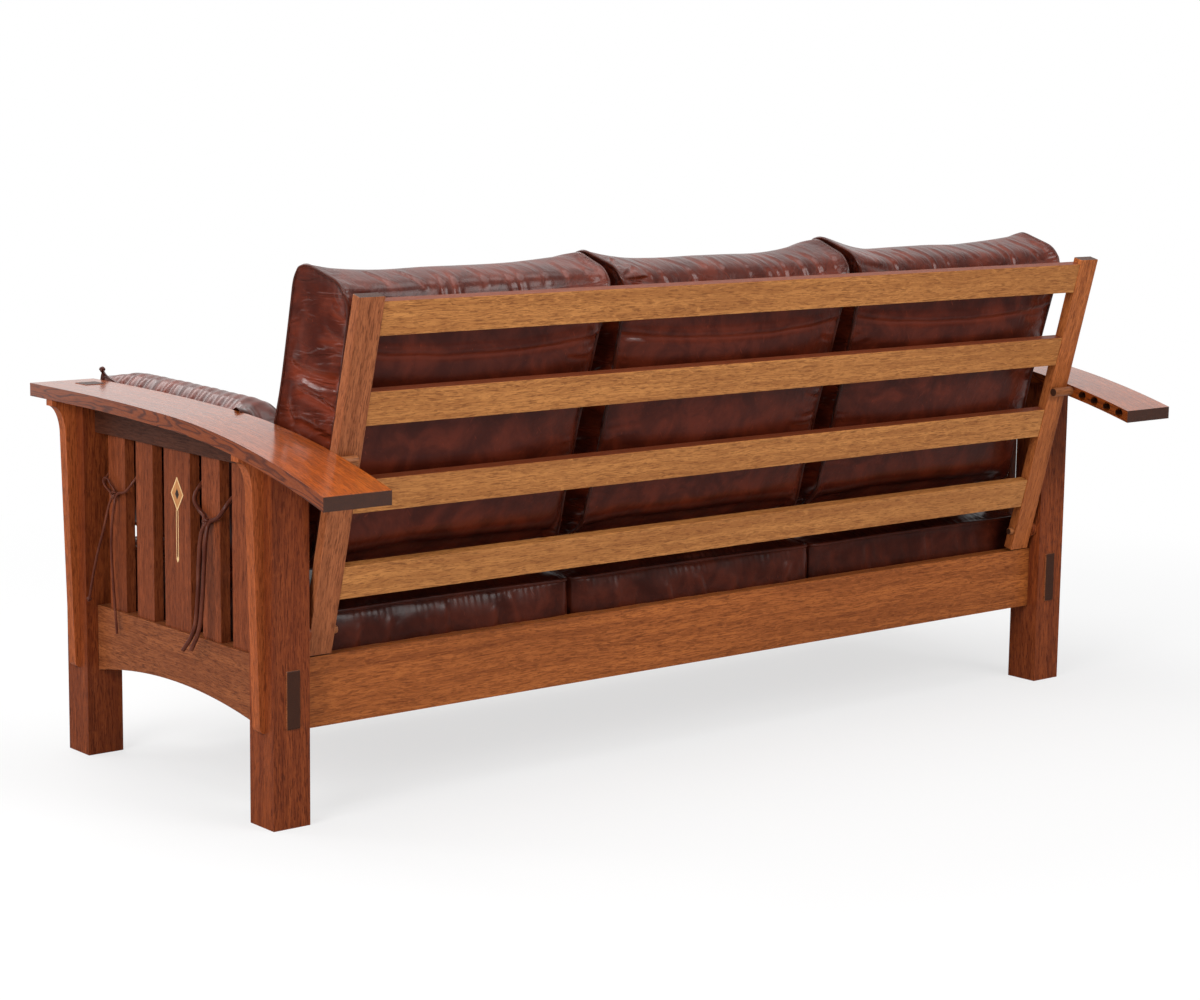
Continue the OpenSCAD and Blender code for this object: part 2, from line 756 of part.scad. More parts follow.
// Cleat on the inner face of a seat rail, with its top on the slope of the deck
function cleat_y(front) = front ? deck_y0 - rest_fit : deck_y1 + rest_fit - cleat_w;
module seat_cleat(front) {
    y = cleat_y(front);
    color(oak_light) difference() {
        side_profile(-cleat_l / 2, cleat_l / 2) polygon([
            [y, deck_top(y) - deck_t - cleat_h], [y + cleat_w, deck_top(y) - deck_t - cleat_h],
            [y + cleat_w, deck_top(y + cleat_w) - deck_t], [y, deck_top(y) - deck_t]]);
        if (front) screw_holes(front_y, 1);
        else screw_holes(rear_y, -1);
    }
}

// Screws through a cleat into its rail, pointing along -dir, with their heads in the cleat's inner face
screw_x0 = -cleat_l / 2 + leg_w;
screw_pitch = (cleat_l - 2 * leg_w) / (screw_count - 1);
function screw_z(dir) = deck_top(cleat_y(dir > 0)) - deck_t - cleat_h / 2 - screw_low;
module at_screws(y, dir) {
    head_y = y + dir * (end_rail_in + end_rail_t + cleat_w);
    for (i = [0 : screw_count - 1])
        translate([screw_x0 + i * screw_pitch, head_y, screw_z(dir)]) rotate([dir * 90, 0, 0]) children();
}

module screw_holes(y, dir) {
    at_screws(y, dir) {
        cylinder(h = screw_l + set_fit, r = screw_d / 2 + set_fit);
        cylinder(h = screw_cone, r1 = screw_head_d / 2 + set_fit, r2 = screw_d / 2 + set_fit);
        translate([0, 0, -cut]) cylinder(h = cut, r = screw_head_d / 2 + set_fit);
    }
}

module cleat_screws() {
    color(steel) for (end = [[front_y, 1], [rear_y, -1]])
        at_screws(end[0], end[1]) rotate_extrude() polygon([
            [0, 0], [screw_head_d / 2, 0], [screw_d / 2, screw_cone], [screw_d / 2, screw_l - screw_d],
            [0, screw_l]]);
}

// Deck slats run from front to rear on the cleats
module seat_slats() {
    pitch = (2 * bay_x - deck_slat_w - 2 * rest_fit) / (deck_count - 1);
    color(oak_light) for (i = [0 : deck_count - 1]) {
        x0 = -bay_x + rest_fit + i * pitch;
        side_profile(x0, x0 + deck_slat_w) polygon([
            [deck_y0, deck_top(deck_y0) - deck_t], [deck_y1, deck_top(deck_y1) - deck_t],
            [deck_y1, deck_top(deck_y1)], [deck_y0, deck_top(deck_y0)]]);
    }
}

// Crown of a stuffed form as its flat facets have it
function facet_swell(u, v) =
    let (n = form_steps, i = floor(u * n), j = floor(v * n))
    mix(mix(swell(i / n, j / n), swell((i + 1) / n, j / n), u * n - i),
        mix(swell(i / n, (j + 1) / n), swell((i + 1) / n, (j + 1) / n), u * n - i), v * n - j);

// Height of the seat cushions' crowned tops above the floor
function seat_top(x, y) =
    let (
        row = (x + bay_x) / seat_w,
        a = row - floor(row),
        b = 0.5 + ((y - seat_y0) / seat_d - 0.5) / (1 - 2 * draw_in * bump(a) / seat_d)
    )
    deck_top(y) + rest_fit + seat_boxing + (b > 0 && b < 1 ? seat_crown * facet_swell(a, b) : 0);

// Seat cushions, numbered from the right to the left
module seat_cushion(i) {
    x0 = (i - 1.5) * seat_w + cushion_gap / 2;
    x1 = (i - 0.5) * seat_w - cushion_gap / 2;
    corners = [for (h = [rest_fit, rest_fit + seat_boxing]) [for (x = [x0, x1])
        [[x, seat_y0, deck_top(seat_y0) + h], [x, seat_y1, deck_top(seat_y1) + h]]]];
    color(leather) stuffed(corners, [seat_bulge, 0, 0, 0, seat_crown],
        [[0, 1, -seat_rise], [1, 0, 0], [0, 0, 1]], draw_in);
}

// Back cushions lean on the back frame and stand on the seat cushions, pushed up against the left arm
cushion_rear = stile_t / 2 - back_set;
cushion_front = cushion_rear - back_boxing;
rear_crown = back_set - back_rail_in - back_rail_t - rest_fit;
back_crowns = [0, under_crown, top_crown, front_crown, rear_crown];
back_axes = [[1, 0, 0], [0, 0, 1], [0, 1, 0]];
back_cushion_w = (2 * arm_in_x - 4 * cushion_gap - back_row_room) / 3;
function back_corners(i, lift) =
    let (
        x1 = arm_in_x - 2 * cushion_gap - (2 - i) * (back_cushion_w + cushion_gap),
        x0 = x1 - back_cushion_w,
        low = back_cushion_low - pivot_up + lift,
        toe = back_cushion_toe - pivot_up + lift,
        high = back_cushion_top - pivot_up,
        r0 = x0 + rear_inset,
        r1 = x1 - rear_inset
    )
    [
        [for (z = [toe, high]) [[x0, cushion_front, z], [x1, cushion_front, z]]],
        [for (z = [low, high]) [[r0, cushion_rear, z], [r1, cushion_rear, z]]]
    ];

// Lift along the frame that just sets the undersides on the seat, found by moving up twice
form_samples = [for (i = [0 : form_steps]) i / form_steps];
function tilted(p) = [p[0],
    pivot_y + p[1] * cos(lean) + p[2] * sin(lean), pivot_z + p[2] * cos(lean) - p[1] * sin(lean)];
function sunk(p) = seat_top(p[0], p[1]) - p[2];
function settled(lift) = lift + max([for (i = [0 : 2]) for (a = form_samples) for (c = form_samples)
    sunk(tilted(form_point(back_corners(i, lift), back_crowns, back_axes, draw_in, a, 0, c)))]) / cos(lean);
cushion_lift = settled(settled(0)) + rest_fit;

module back_cushion(i) {
    color(leather) on_back() stuffed(back_corners(i, cushion_lift), back_crowns, back_axes, draw_in);
}

// Side pillow, standing on the seat cushions against the arm
pillow_x = arm_in_x - pillow_in;
pillow_y0 = front_y - pillow_front;
pillow_y1 = tilted([0, cushion_front, back_cushion_toe - pivot_up])[1] - pillow_behind;
pillow_crowns = [pillow_top_crown, draw_in, draw_in, pillow_crown, pillow_crown];
pillow_axes = [[0, 0, 1], [0, 1, 0], [1, 0, 0]];
function pillow_corners(foot) = [for (x = [pillow_x - pillow_t, pillow_x]) [
    [[x, pillow_y0, deck_top(pillow_y0) + foot], [x, pillow_y0, pillow_z]],
    [[x, pillow_y1, deck_top(pillow_y1) + foot], [x, pillow_y1, pillow_z - pillow_drop]]]];
pillow_foot = rest_fit + max([for (b = form_samples) for (c = form_samples)
    sunk(form_point(pillow_corners(0), pillow_crowns, pillow_axes, draw_in, 0, b, c))]);

module side_pillow() {
    color(leather) stuffed(pillow_corners(pillow_foot), pillow_crowns, pillow_axes, draw_in);
}

module pillow_tie(a, b, d, knot) {
    color(lace) {
        tube(a, d);
        tube(b, d);
        translate(knot) sphere(d = knot_d, $fn = 24);
    }
}

for (side = SIDES) {
    on_side(side) leg_front();
    on_side(side) leg_rear();
    on_side(side) arm();
    on_side(side) lower_side_rail();
    on_side(side) upper_side_rail();
    on_side(side) inlay();
    on_side(side) corbel(front_y + leg_w / 2);
    on_side(side) corbel(rear_y - leg_w / 2);
    on_side(side) back_stile();
    on_side(side) pivot_pin();
    on_side(side) pivot_washer();
    on_side(side) support_peg(side == "left" ? left_peg_back : 0);
    on_side(side) side_pillow();
    on_side(side) pillow_tie(lace_front_a, lace_front_b, front_lace_d, knot_front);
    on_side(side) pillow_tie(lace_rear_a, lace_rear_b, rear_lace_d, knot_rear);
    for (i = [1 : slat_count])
        on_side(side) side_slat(i);
}
for (i = [1 : back_rail_count])
    back_rail(i);
front_rail();
rear_rail();
seat_cleat(true);  // seat_cleat_front
seat_cleat(false);  // seat_cleat_rear
seat_slats();
cleat_screws();
seat_cushion(0);  // seat_cushion_right
seat_cushion(1);  // seat_cushion_middle
seat_cushion(2);  // seat_cushion_left
back_cushion(0);  // back_cushion_right
back_cushion(1);  // back_cushion_middle
back_cushion(2);  // back_cushion_left
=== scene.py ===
import math
import random

import bmesh
import bpy
from mathutils import Matrix, Vector, noise


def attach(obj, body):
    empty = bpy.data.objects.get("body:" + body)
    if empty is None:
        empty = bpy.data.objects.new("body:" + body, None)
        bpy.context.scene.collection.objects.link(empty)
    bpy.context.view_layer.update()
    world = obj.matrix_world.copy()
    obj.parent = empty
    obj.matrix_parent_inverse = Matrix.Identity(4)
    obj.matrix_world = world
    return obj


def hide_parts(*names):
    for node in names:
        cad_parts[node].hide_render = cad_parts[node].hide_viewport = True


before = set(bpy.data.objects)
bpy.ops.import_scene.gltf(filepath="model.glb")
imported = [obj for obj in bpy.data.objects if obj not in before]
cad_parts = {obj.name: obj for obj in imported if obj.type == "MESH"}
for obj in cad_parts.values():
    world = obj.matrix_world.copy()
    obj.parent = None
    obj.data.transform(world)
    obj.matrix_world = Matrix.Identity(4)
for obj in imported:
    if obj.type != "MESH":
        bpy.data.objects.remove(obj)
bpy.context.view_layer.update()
SIDES = {"left": 1, "right": -1}

# Camera where the photograph was taken from
eye = Vector((3.4812, 4.1098, 1.3190))
yaw, pitch, roll = (math.radians(a) for a in (39.614, -9.085, 0.758))
forward = Vector((-math.sin(yaw) * math.cos(pitch), -math.cos(yaw) * math.cos(pitch), math.sin(pitch)))
across = forward.cross(Vector((0, 0, 1))).normalized()
upward = across.cross(forward)
right = math.cos(roll) * across + math.sin(roll) * upward
up = math.cos(roll) * upward - math.sin(roll) * across
camera = bpy.data.objects.new("camera", bpy.data.cameras.new("camera"))
bpy.context.scene.collection.objects.link(camera)
camera.matrix_world = Matrix.Translation(eye) @ Matrix((right, up, -forward)).transposed().to_4x4()
camera.data.sensor_width = 36
camera.data.lens = 80.24
camera.data.clip_end = 100
bpy.context.scene.camera = camera
bpy.context.scene.view_settings.view_transform = "Standard"


def linked(name, data):
    piece = bpy.data.objects.new(name, data)
    bpy.context.scene.collection.objects.link(piece)
    return piece


def finished(piece, body, material):
    """Gives a piece its body and its material."""
    piece.data.materials.clear()
    piece.data.materials.append(material)
    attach(piece, body)
    return piece


# Shader helpers
def plug(tree, node, inputs):
    """Gives a node its inputs, each linked from an output or as a plain value."""
    for key, value in dict(inputs).items():
        if isinstance(value, bpy.types.NodeSocket):
            tree.links.new(value, node.inputs[key])
        else:
            node.inputs[key].default_value = value


def place(tree, kind, inputs=(), **settings):
    node = tree.nodes.new("ShaderNode" + kind)
    for key, value in settings.items():
        setattr(node, key, value)
    plug(tree, node, inputs)
    return node


def maths(tree, operation, *values):
    return place(tree, "Math", enumerate(values), operation=operation).outputs[0]


def times(tree, first, second):
    return maths(tree, "MULTIPLY", first, second)


def vectors(tree, operation, *values):
    return place(tree, "VectorMath", enumerate(values), operation=operation).outputs[0]


def spread(tree, value, low, high, to_low=0.0, to_high=1.0):
    inputs = {0: value, 1: low, 2: high, 3: to_low, 4: to_high}
    return place(tree, "MapRange", inputs, interpolation_type="SMOOTHSTEP").outputs[0]


def mixed(tree, factor, first, second, mode="MIX"):
    inputs = {0: factor, 6: first, 7: second}
    return place(tree, "Mix", inputs, data_type="RGBA", blend_type=mode).outputs[2]


def clouds(tree, vector, scale, detail=2.0, roughness=0.5, distortion=0.0):
    inputs = {"Vector": vector, "Scale": scale, "Detail": detail,
              "Roughness": roughness, "Distortion": distortion}
    return place(tree, "TexNoise", inputs).outputs["Fac"]


def stretched(tree, vector, x, y, z):
    return vectors(tree, "MULTIPLY", vector, (x, y, z))


def group(name, inputs, outputs):
    tree = bpy.data.node_groups.new(name, "ShaderNodeTree")
    for label, kind in inputs:
        tree.interface.new_socket(label, in_out="INPUT", socket_type="NodeSocket" + kind)
    for label, kind in outputs:
        tree.interface.new_socket(label, in_out="OUTPUT", socket_type="NodeSocket" + kind)
    return tree, tree.nodes.new("NodeGroupInput"), tree.nodes.new("NodeGroupOutput")


def seen(r, g, b):
    """Linear colour of a colour read off a screen."""
    return tuple(((c / 255 + 0.055) / 1.055) ** 2.4 for c in (r, g, b)) + (1,)


# Quarter-sawn oak: broad figure, short dark pores along the grain, pale ray flecks, dark end grain
oak_figure, given, result = group(
    "oak_figure",
    [("Place", "Vector"), ("Facing", "Vector"), ("Light", "Color"), ("Dark", "Color"),
     ("Fleck", "Float"), ("Grain", "Float"), ("Sawn", "Float")],
    [("Color", "Color"), ("Roughness", "Float"), ("Height", "Float")],
)
t = oak_figure
board, pale, dusky = (given.outputs[label] for label in ("Place", "Light", "Dark"))
sway_by = 0.022
sway = maths(t, "SUBTRACT", clouds(t, stretched(t, board, 3.5, 9, 9), 1.0), 0.5)
sway = times(t, sway, sway_by)
swayed = vectors(t, "ADD", board, place(t, "CombineXYZ", {1: sway, 2: sway}).outputs[0])
# Cells per metre along, across and through the board, then detail, roughness and distortion
layers = (
    ((1.6, 70, 70), 4, 0.6),
    ((22, 420, 420), 3, 0.6),
    ((46, 460, 460), 2, 0.5),
    ((90, 760, 760), 2, 0.5),
    ((42, 130, 130), 3, 0.6, 0.8),
)
rings, fine, dashes, pores, rays = (
    clouds(t, stretched(t, swayed, *cells), 1.0, *texture) for cells, *texture in layers)
tone = clouds(t, stretched(t, board, 0.9, 6, 6), 1.0, 1)
deep_grain = mixed(t, 1.0, dusky, (0.42, 0.34, 0.34, 1), "MULTIPLY")
wood = mixed(t, spread(t, rings, 0.34, 0.66, 0, 0.62), pale, dusky)
wood = mixed(t, spread(t, fine, 0.42, 0.66, 0, 0.7), wood, dusky)
fleck = times(t, spread(t, rays, 0.55, 0.66), given.outputs["Fleck"])
wood = mixed(t, fleck, wood, pale)
dash = times(t, spread(t, dashes, 0.55, 0.62), given.outputs["Grain"])
wood = mixed(t, dash, wood, deep_grain)
pore = spread(t, pores, 0.44, 0.34)
wood = mixed(t, times(t, pore, 0.4), wood, deep_grain)
wood = mixed(t, spread(t, tone, 0.3, 0.7, 0, 0.3), wood, dusky)
lengthwise, sideways = place(t, "SeparateXYZ", {0: given.outputs["Facing"]}).outputs[:2]
# Flat-sawn edges show the rings as wavy contour lines
contours = clouds(t, stretched(t, board, 6, 30, 42), 1.0, 2, 0.4)
contours = maths(t, "FRACT", times(t, contours, 9.0))
contours = maths(t, "ABSOLUTE", maths(t, "SUBTRACT", contours, 0.5))
contour = maths(t, "SUBTRACT", 1.0, spread(t, contours, 0.0, 0.3))
edge = spread(t, maths(t, "ABSOLUTE", sideways), 0.6, 0.9)
edge = times(t, edge, given.outputs["Sawn"])
# Edges are darker all over, partly for the flat-sawn figure and partly as painted shade
wood = mixed(t, times(t, edge, 0.7), wood, dusky)
wood = mixed(t, times(t, edge, times(t, contour, 0.95)), wood, deep_grain)
end_grain = (0.035, 0.014, 0.009, 1)
end = spread(t, maths(t, "ABSOLUTE", lengthwise), 0.72, 0.9)
wood = mixed(t, times(t, end, 0.93), wood, end_grain)
gloss = maths(t, "ADD", spread(t, fine, 0.3, 0.7, 0.34, 0.46), times(t, pore, 0.12))
relief = maths(t, "SUBTRACT", times(t, fine, 0.35), pore)
plug(t, result, {"Color": wood, "Roughness": gloss, "Height": relief})


def principled(material, inputs):
    tree = material.node_tree
    tree.nodes.clear()
    shader = place(tree, "BsdfPrincipled", inputs)
    place(tree, "OutputMaterial", {0: shader.outputs[0]})
    return shader


def new_material(name):
    material = bpy.data.materials.new(name)
    material.use_nodes = True
    return material


# Painted shade: the red-brown that the upper faces of the back rails turn to, as if in the shade of the
# cushions above
top_shade_colour = seen(104, 42, 24)


def oak(name, light, dark, turn, fleck=0.5, bent=False, coat=0.06, sawn=0.0, grained=0.6, top_shade=0.0):
    """Oak whose grain runs along X once the place is turned."""
    material = new_material(name)
    shader = principled(material, {
        "Coat Weight": coat, "Coat Roughness": 0.16, "Coat IOR": 1.6, "Specular IOR Level": 0.12})
    tree = material.node_tree
    coordinates = place(tree, "TexCoord").outputs
    where = coordinates["Object"]
    if bent:
        where = straightened(tree, where)
    where = place(tree, "Mapping", {"Vector": where, "Rotation": turn}).outputs[0]
    facing = place(tree, "Mapping", {"Vector": coordinates["Normal"], "Rotation": turn},
                   vector_type="NORMAL").outputs[0]
    figure = place(tree, "Group", {
        "Place": where, "Facing": facing, "Light": light, "Dark": dark,
        "Fleck": fleck, "Sawn": sawn, "Grain": grained}, node_tree=oak_figure).outputs
    colour = figure["Color"]
    # Painted shade: faces that look up are darkened toward that red-brown
    if top_shade:
        level = place(tree, "SeparateXYZ", {0: coordinates["Normal"]}).outputs[2]
        colour = mixed(tree, spread(tree, level, 0.6, 0.9, 0, top_shade), colour, top_shade_colour)
    grain = place(tree, "Bump", {"Strength": 0.35, "Distance": 0.0006, "Height": figure["Height"]})
    plug(tree, shader, {"Base Color": colour, "Roughness": figure["Roughness"], "Normal": grain.outputs[0]})
    return material


# The arms are bent, so their grain follows the bow. Lengths along the arm are from its front end.
arm_front, easy_start, bow_start = -0.503, 0.13, 0.51
easy_bend, full_bend = 1 / 18, 1 / 4


def straightened(tree, where):
    split = place(tree, "SeparateXYZ", {0: where}).outputs
    along = maths(tree, "SUBTRACT", split[1], arm_front)
    easy = maths(tree, "MAXIMUM", maths(tree, "SUBTRACT", along, easy_start), 0.0)
    bow = maths(tree, "MAXIMUM", maths(tree, "SUBTRACT", along, bow_start), 0.0)
    easy_drop = times(tree, times(tree, easy, easy), easy_bend)
    bow_drop = times(tree, times(tree, bow, bow), full_bend - easy_bend)
    level = maths(tree, "ADD", split[2], maths(tree, "ADD", easy_drop, bow_drop))
    return place(tree, "CombineXYZ", {0: split[0], 1: split[1], 2: level}).outputs[0]


# Leather: mottled and worn lighter on its folds, with scratches, fine grain and small creases
hide_figure, given, result = group(
    "hide_figure",
    [("Place", "Vector"), ("Ridge", "Float"), ("Creased", "Float"), ("Deep", "Color"), ("Worn", "Color")],
    [("Color", "Color"), ("Roughness", "Float"), ("Height", "Float"), ("Crease", "Float")],
)
t = hide_figure
where, deep, worn = (given.outputs[label] for label in ("Place", "Deep", "Worn"))
mottle = clouds(t, where, 16, 5, 0.6, 0.5)
patches = clouds(t, where, 3.2, 2, 0.5)
skin = mixed(t, spread(t, mottle, 0.36, 0.72, 0, 0.42), deep, worn)
skin = mixed(t, spread(t, patches, 0.3, 0.7, 0.0, 0.35), skin, deep)
for turn, low in (((0.3, 0.5, 0.6), 0.70), ((-0.5, 0.2, -0.7), 0.71)):
    turned = place(t, "Mapping", {"Vector": where, "Rotation": turn}).outputs[0]
    scratch = clouds(t, stretched(t, turned, 9, 330, 60), 1.0, 2, 0.5)
    skin = mixed(t, spread(t, scratch, low, low + 0.06, 0, 0.4), skin, worn)
wander = place(t, "TexNoise", {"Vector": where, "Scale": 30.0}).outputs["Color"]
crackle = place(t, "TexVoronoi", {"Vector": vectors(t, "ADD", where, wander), "Scale": 46.0},
                feature="DISTANCE_TO_EDGE").outputs["Distance"]
worn_here = spread(t, clouds(t, where, 9, 3, 0.6), 0.5, 0.66)
skin = mixed(t, times(t, worn_here, spread(t, crackle, 0.05, 0.0, 0, 0.6)), skin, worn)
skin = mixed(t, times(t, given.outputs["Ridge"], 0.5), skin, worn)
dulled = spread(t, mottle, 0.3, 0.75, 0.30, 0.42)
crumple = clouds(t, stretched(t, where, 40, 8, 40), 1.0, 2, 0.55, 0.5)
lines = maths(t, "SUBTRACT", maths(t, "FRACT", times(t, crumple, 3.0)), 0.5)
lines = spread(t, maths(t, "ABSOLUTE", lines), 0.0, 0.3)
crease = maths(t, "ADD", crumple, times(t, lines, 0.06))
crease = times(t, crease, given.outputs["Creased"])
pebble = place(t, "TexVoronoi", {"Vector": where, "Scale": 420.0}).outputs["Distance"]
relief = times(t, clouds(t, where, 60, 3, 0.5), 0.5)
relief = maths(t, "ADD", relief, times(t, pebble, 0.12))
plug(t, result, {"Color": skin, "Roughness": dulled, "Height": relief, "Crease": crease})


def hide(name, deep, worn, coat=0.5):
    material = new_material(name)
    shader = principled(material, {"Coat Weight": coat, "Coat Roughness": 0.21, "Specular IOR Level": 0.1})
    tree = material.node_tree
    where = place(tree, "TexCoord").outputs["Object"]
    ridge, creased = (place(tree, "Attribute", attribute_name=label).outputs["Fac"]
                      for label in ("ridge", "creased"))
    figure = place(tree, "Group", {
        "Place": where, "Ridge": ridge, "Creased": creased, "Deep": deep, "Worn": worn},
        node_tree=hide_figure).outputs
    creases = place(tree, "Bump", {"Strength": 1.0, "Distance": 0.016, "Height": figure["Crease"]})
    skin = place(tree, "Bump", {
        "Strength": 0.5, "Distance": 0.0005, "Height": figure["Height"], "Normal": creases.outputs[0]})
    plug(tree, shader, {
        "Base Color": figure["Color"], "Roughness": figure["Roughness"], "Normal": skin.outputs[0]})
    return material


quarter = math.pi / 2
along_x, along_y, along_z = (0, 0, 0), (0, 0, -quarter), (0, quarter, 0)
lean = math.radians(14.4729)
red_light, red_dark = seen(142, 70, 34), seen(92, 38, 18)
gold_light, gold_dark = seen(198, 134, 74), seen(150, 92, 48)
oak_post = oak("oak_post", red_light, red_dark, along_z)
oak_slat = oak("oak_slat", seen(142, 72, 40), seen(96, 44, 22), along_z)
oak_side = oak("oak_side", seen(152, 88, 50), seen(104, 52, 28), along_y)
oak_corbel = oak("oak_corbel", seen(176, 92, 48), seen(124, 60, 28), along_z)
# Painted shade: a darker copy of the side oak for the upper side rails, as if in the shade under the arms
oak_painted_shade = oak("oak_painted_shade", seen(92, 52, 36), seen(64, 34, 24), along_y)
oak_arm = oak("oak_arm", seen(182, 87, 20), seen(112, 48, 12), along_y, bent=True, coat=1.0, sawn=1.0)
oak_seat_rail = oak("oak_seat_rail", seen(186, 108, 53), seen(118, 60, 27), along_x, grained=0.5)
oak_top_rail = oak("oak_top_rail", gold_light, gold_dark, along_x, 0.7, grained=0.55)
oak_back_rail = oak("oak_back_rail", gold_light, gold_dark, along_x, 0.7, grained=0.55, top_shade=0.9)
oak_stile = oak("oak_stile", seen(168, 100, 62), seen(128, 70, 40), (lean, quarter, 0))
oak_far_stile = oak("oak_far_stile", seen(192, 112, 60), seen(140, 74, 36), (lean, quarter, 0))
oak_deck = oak("oak_deck", gold_light, gold_dark, along_y, 0.3, coat=0.0)
oak_cleat = oak("oak_cleat", gold_light, gold_dark, along_x, 0.3, coat=0.0)
oak_peg = oak("oak_peg", seen(176, 110, 66), seen(120, 70, 40), along_x, 0.2)
oak_washer = oak("oak_washer", red_light, red_dark, along_z, 0.1)
leather = hide("leather", seen(66, 22, 12), seen(134, 53, 28))
# Painted shade: the seats' leather is a darker copy of the back cushions' leather, with less coat
seat_leather_painted_shade = hide("seat_leather_painted_shade", seen(54, 19, 11), seen(112, 46, 26), coat=0.25)
piping_leather = hide("piping_leather", seen(58, 21, 12), seen(112, 46, 26))
lace_leather = hide("lace_leather", seen(74, 34, 24), seen(138, 78, 56), coat=0.1)

# Inlay: a band of maple round a field of pale oak and an ebony core, with maple lines below
veneer = new_material("inlay_veneer")
shader = principled(veneer, {"Roughness": 0.34, "Specular IOR Level": 0.3})
t = veneer.node_tree
inlay_middle, inlay_half_w, inlay_half_h = (0, 0.101, -0.548), 0.022, 0.032
where = place(t, "TexCoord").outputs["Object"]
split = place(t, "SeparateXYZ", {0: vectors(t, "ADD", where, inlay_middle)}).outputs
reach = maths(t, "ADD", maths(t, "DIVIDE", maths(t, "ABSOLUTE", split[1]), inlay_half_w),
              maths(t, "DIVIDE", maths(t, "ABSOLUTE", split[2]), inlay_half_h))
grain = clouds(t, stretched(t, where, 300, 300, 24), 1.0, 3, 0.6)
maple = mixed(t, grain, seen(232, 200, 150), seen(206, 166, 112))
pale_oak = mixed(t, grain, seen(196, 138, 84), seen(150, 92, 50))
ebony = mixed(t, grain, seen(30, 20, 18), seen(54, 38, 32))
inner_share, core_share = 0.864, 0.328
pattern = mixed(t, maths(t, "LESS_THAN", reach, inner_share), maple, pale_oak)
pattern = mixed(t, maths(t, "LESS_THAN", reach, core_share), pattern, ebony)
cut = place(t, "Bump", {"Strength": 0.2, "Distance": 0.0003, "Height": grain}).outputs[0]
plug(t, shader, {"Base Color": pattern, "Normal": cut})

# Zinc-plated screws, brushed by the driver
zinc = new_material("zinc")
shader = principled(zinc, {"Metallic": 1.0})
t = zinc.node_tree
worn = clouds(t, place(t, "TexCoord").outputs["Object"], 260, 3, 0.6)
plug(t, shader, {
    "Base Color": mixed(t, worn, seen(178, 176, 170), seen(128, 126, 120)),
    "Roughness": spread(t, worn, 0.3, 0.7, 0.25, 0.5),
    "Normal": place(t, "Bump", {"Strength": 0.2, "Distance": 0.0002, "Height": worn}).outputs[0]})

# Ties: two laces each, out of the pillow, round a slat, through a knot and down. The exit is in the pillow.
# All their points are in millimetres on the left side, and the right side is the mirror image.
lace_routes = {
    "front_a": [(950, -364, 596), (972, -368, 568), (992, -368, 550), (1004, -360, 536),
                (1005, -346, 526), (1008, -324, 520), (1014, -326, 500), (1020, -339, 450),
                (1028, -355, 390), (1036, -370, 311)],
    "front_b": [(952, -278, 596), (972, -268, 574), (992, -262, 556), (1004, -266, 540),
                (1005, -284, 528), (1008, -308, 520), (1013, -309, 500), (1015, -318, 434),
                (1015, -314, 357), (1016, -300, 255)],
    "rear_a": [(946, -30, 606), (968, -38, 588), (992, -38, 566), (1004, -32, 548),
               (1005, -14, 531), (1008, 10, 517), (1016, 10, 490), (1023, 12, 434),
               (1031, 20, 374), (1037, 14, 315), (1042, -14, 277)],
    "rear_b": [(930, 20, 590), (964, 58, 574), (992, 66, 554), (1004, 64, 538),
               (1005, 48, 524), (1008, 24, 512), (1016, 26, 488), (1023, 30, 434),
               (1031, 36, 374), (1037, 33, 320), (1042, 14, 282)],
}
lace_width = {"front": 0.005, "rear": 0.008}
knot_places = {"front": (1008, -316, 520), "rear": (1009, 17, 513)}
knot_size, tip_size, bow_width = 0.019, 0.011, 0.004
front_bow = [(1008, -320, 521), (1012, -332, 527), (1014, -343, 536),
             (1013, -348, 546), (1011, -342, 549), (1009, -332, 540)]
front_tip = (1036, -370, 314)


def strand(name, points, thickness, closed=False):
    """Round leather strand on one smooth line through the points."""
    line = bpy.data.curves.new(name, "CURVE")
    line.dimensions = "3D"
    line.bevel_depth = thickness / 2
    line.bevel_resolution = 3
    line.resolution_u = 8
    line.use_fill_caps = not closed
    spline = line.splines.new("BEZIER")
    spline.bezier_points.add(len(points) - 1)
    for knot, point in zip(spline.bezier_points, points):
        knot.co = point
        knot.handle_left_type = knot.handle_right_type = "AUTO"
    spline.use_cyclic_u = closed
    return linked(name, line), spline


def on_side(out, point):
    """A point in millimetres on the left side, in metres on the side that out names."""
    return Vector((out * point[0], point[1], point[2])) / 1000


def overhand(centre, size, thickness, out):
    """Points of a small pulled-up knot about its centre."""
    points, count = [], 18
    for i in range(count):
        a = 2 * math.pi * i / count
        y = (math.sin(a) + 2 * math.sin(2 * a)) / 3
        z = (math.cos(a) - 2 * math.cos(2 * a)) / 3
        x = -math.sin(3 * a)
        reach = size / 2 - thickness / 2
        points.append(centre + Vector((out * x * reach * 0.62, y * reach, z * reach)))
    return points


for side, out in SIDES.items():
    for end in ("front", "rear"):
        width = lace_width[end]
        pulled = width * 0.72
        centre = on_side(out, knot_places[end])
        knot, _ = strand(f"tie_knot_{side}_{end}", overhand(centre, knot_size, pulled, out), pulled, True)
        ties = [finished(knot, "base", lace_leather)]
        if end == "front":
            bow_points = [on_side(out, point) for point in front_bow]
            tip_points = overhand(on_side(out, front_tip), tip_size, bow_width, out)
            for name, points in ((f"tie_bow_{side}", bow_points), (f"lace_tip_{side}", tip_points)):
                small, _ = strand(name, points, bow_width, True)
                ties.append(finished(small, "base", lace_leather))
        for part in "ab":
            points = [on_side(out, point) for point in lace_routes[f"{end}_{part}"]]
            lace, spline = strand(f"lace_{side}_{end}_{part}", points, width)
            finished(lace, "base", lace_leather)
            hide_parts(f"pillow_tie_{side}_{end}")

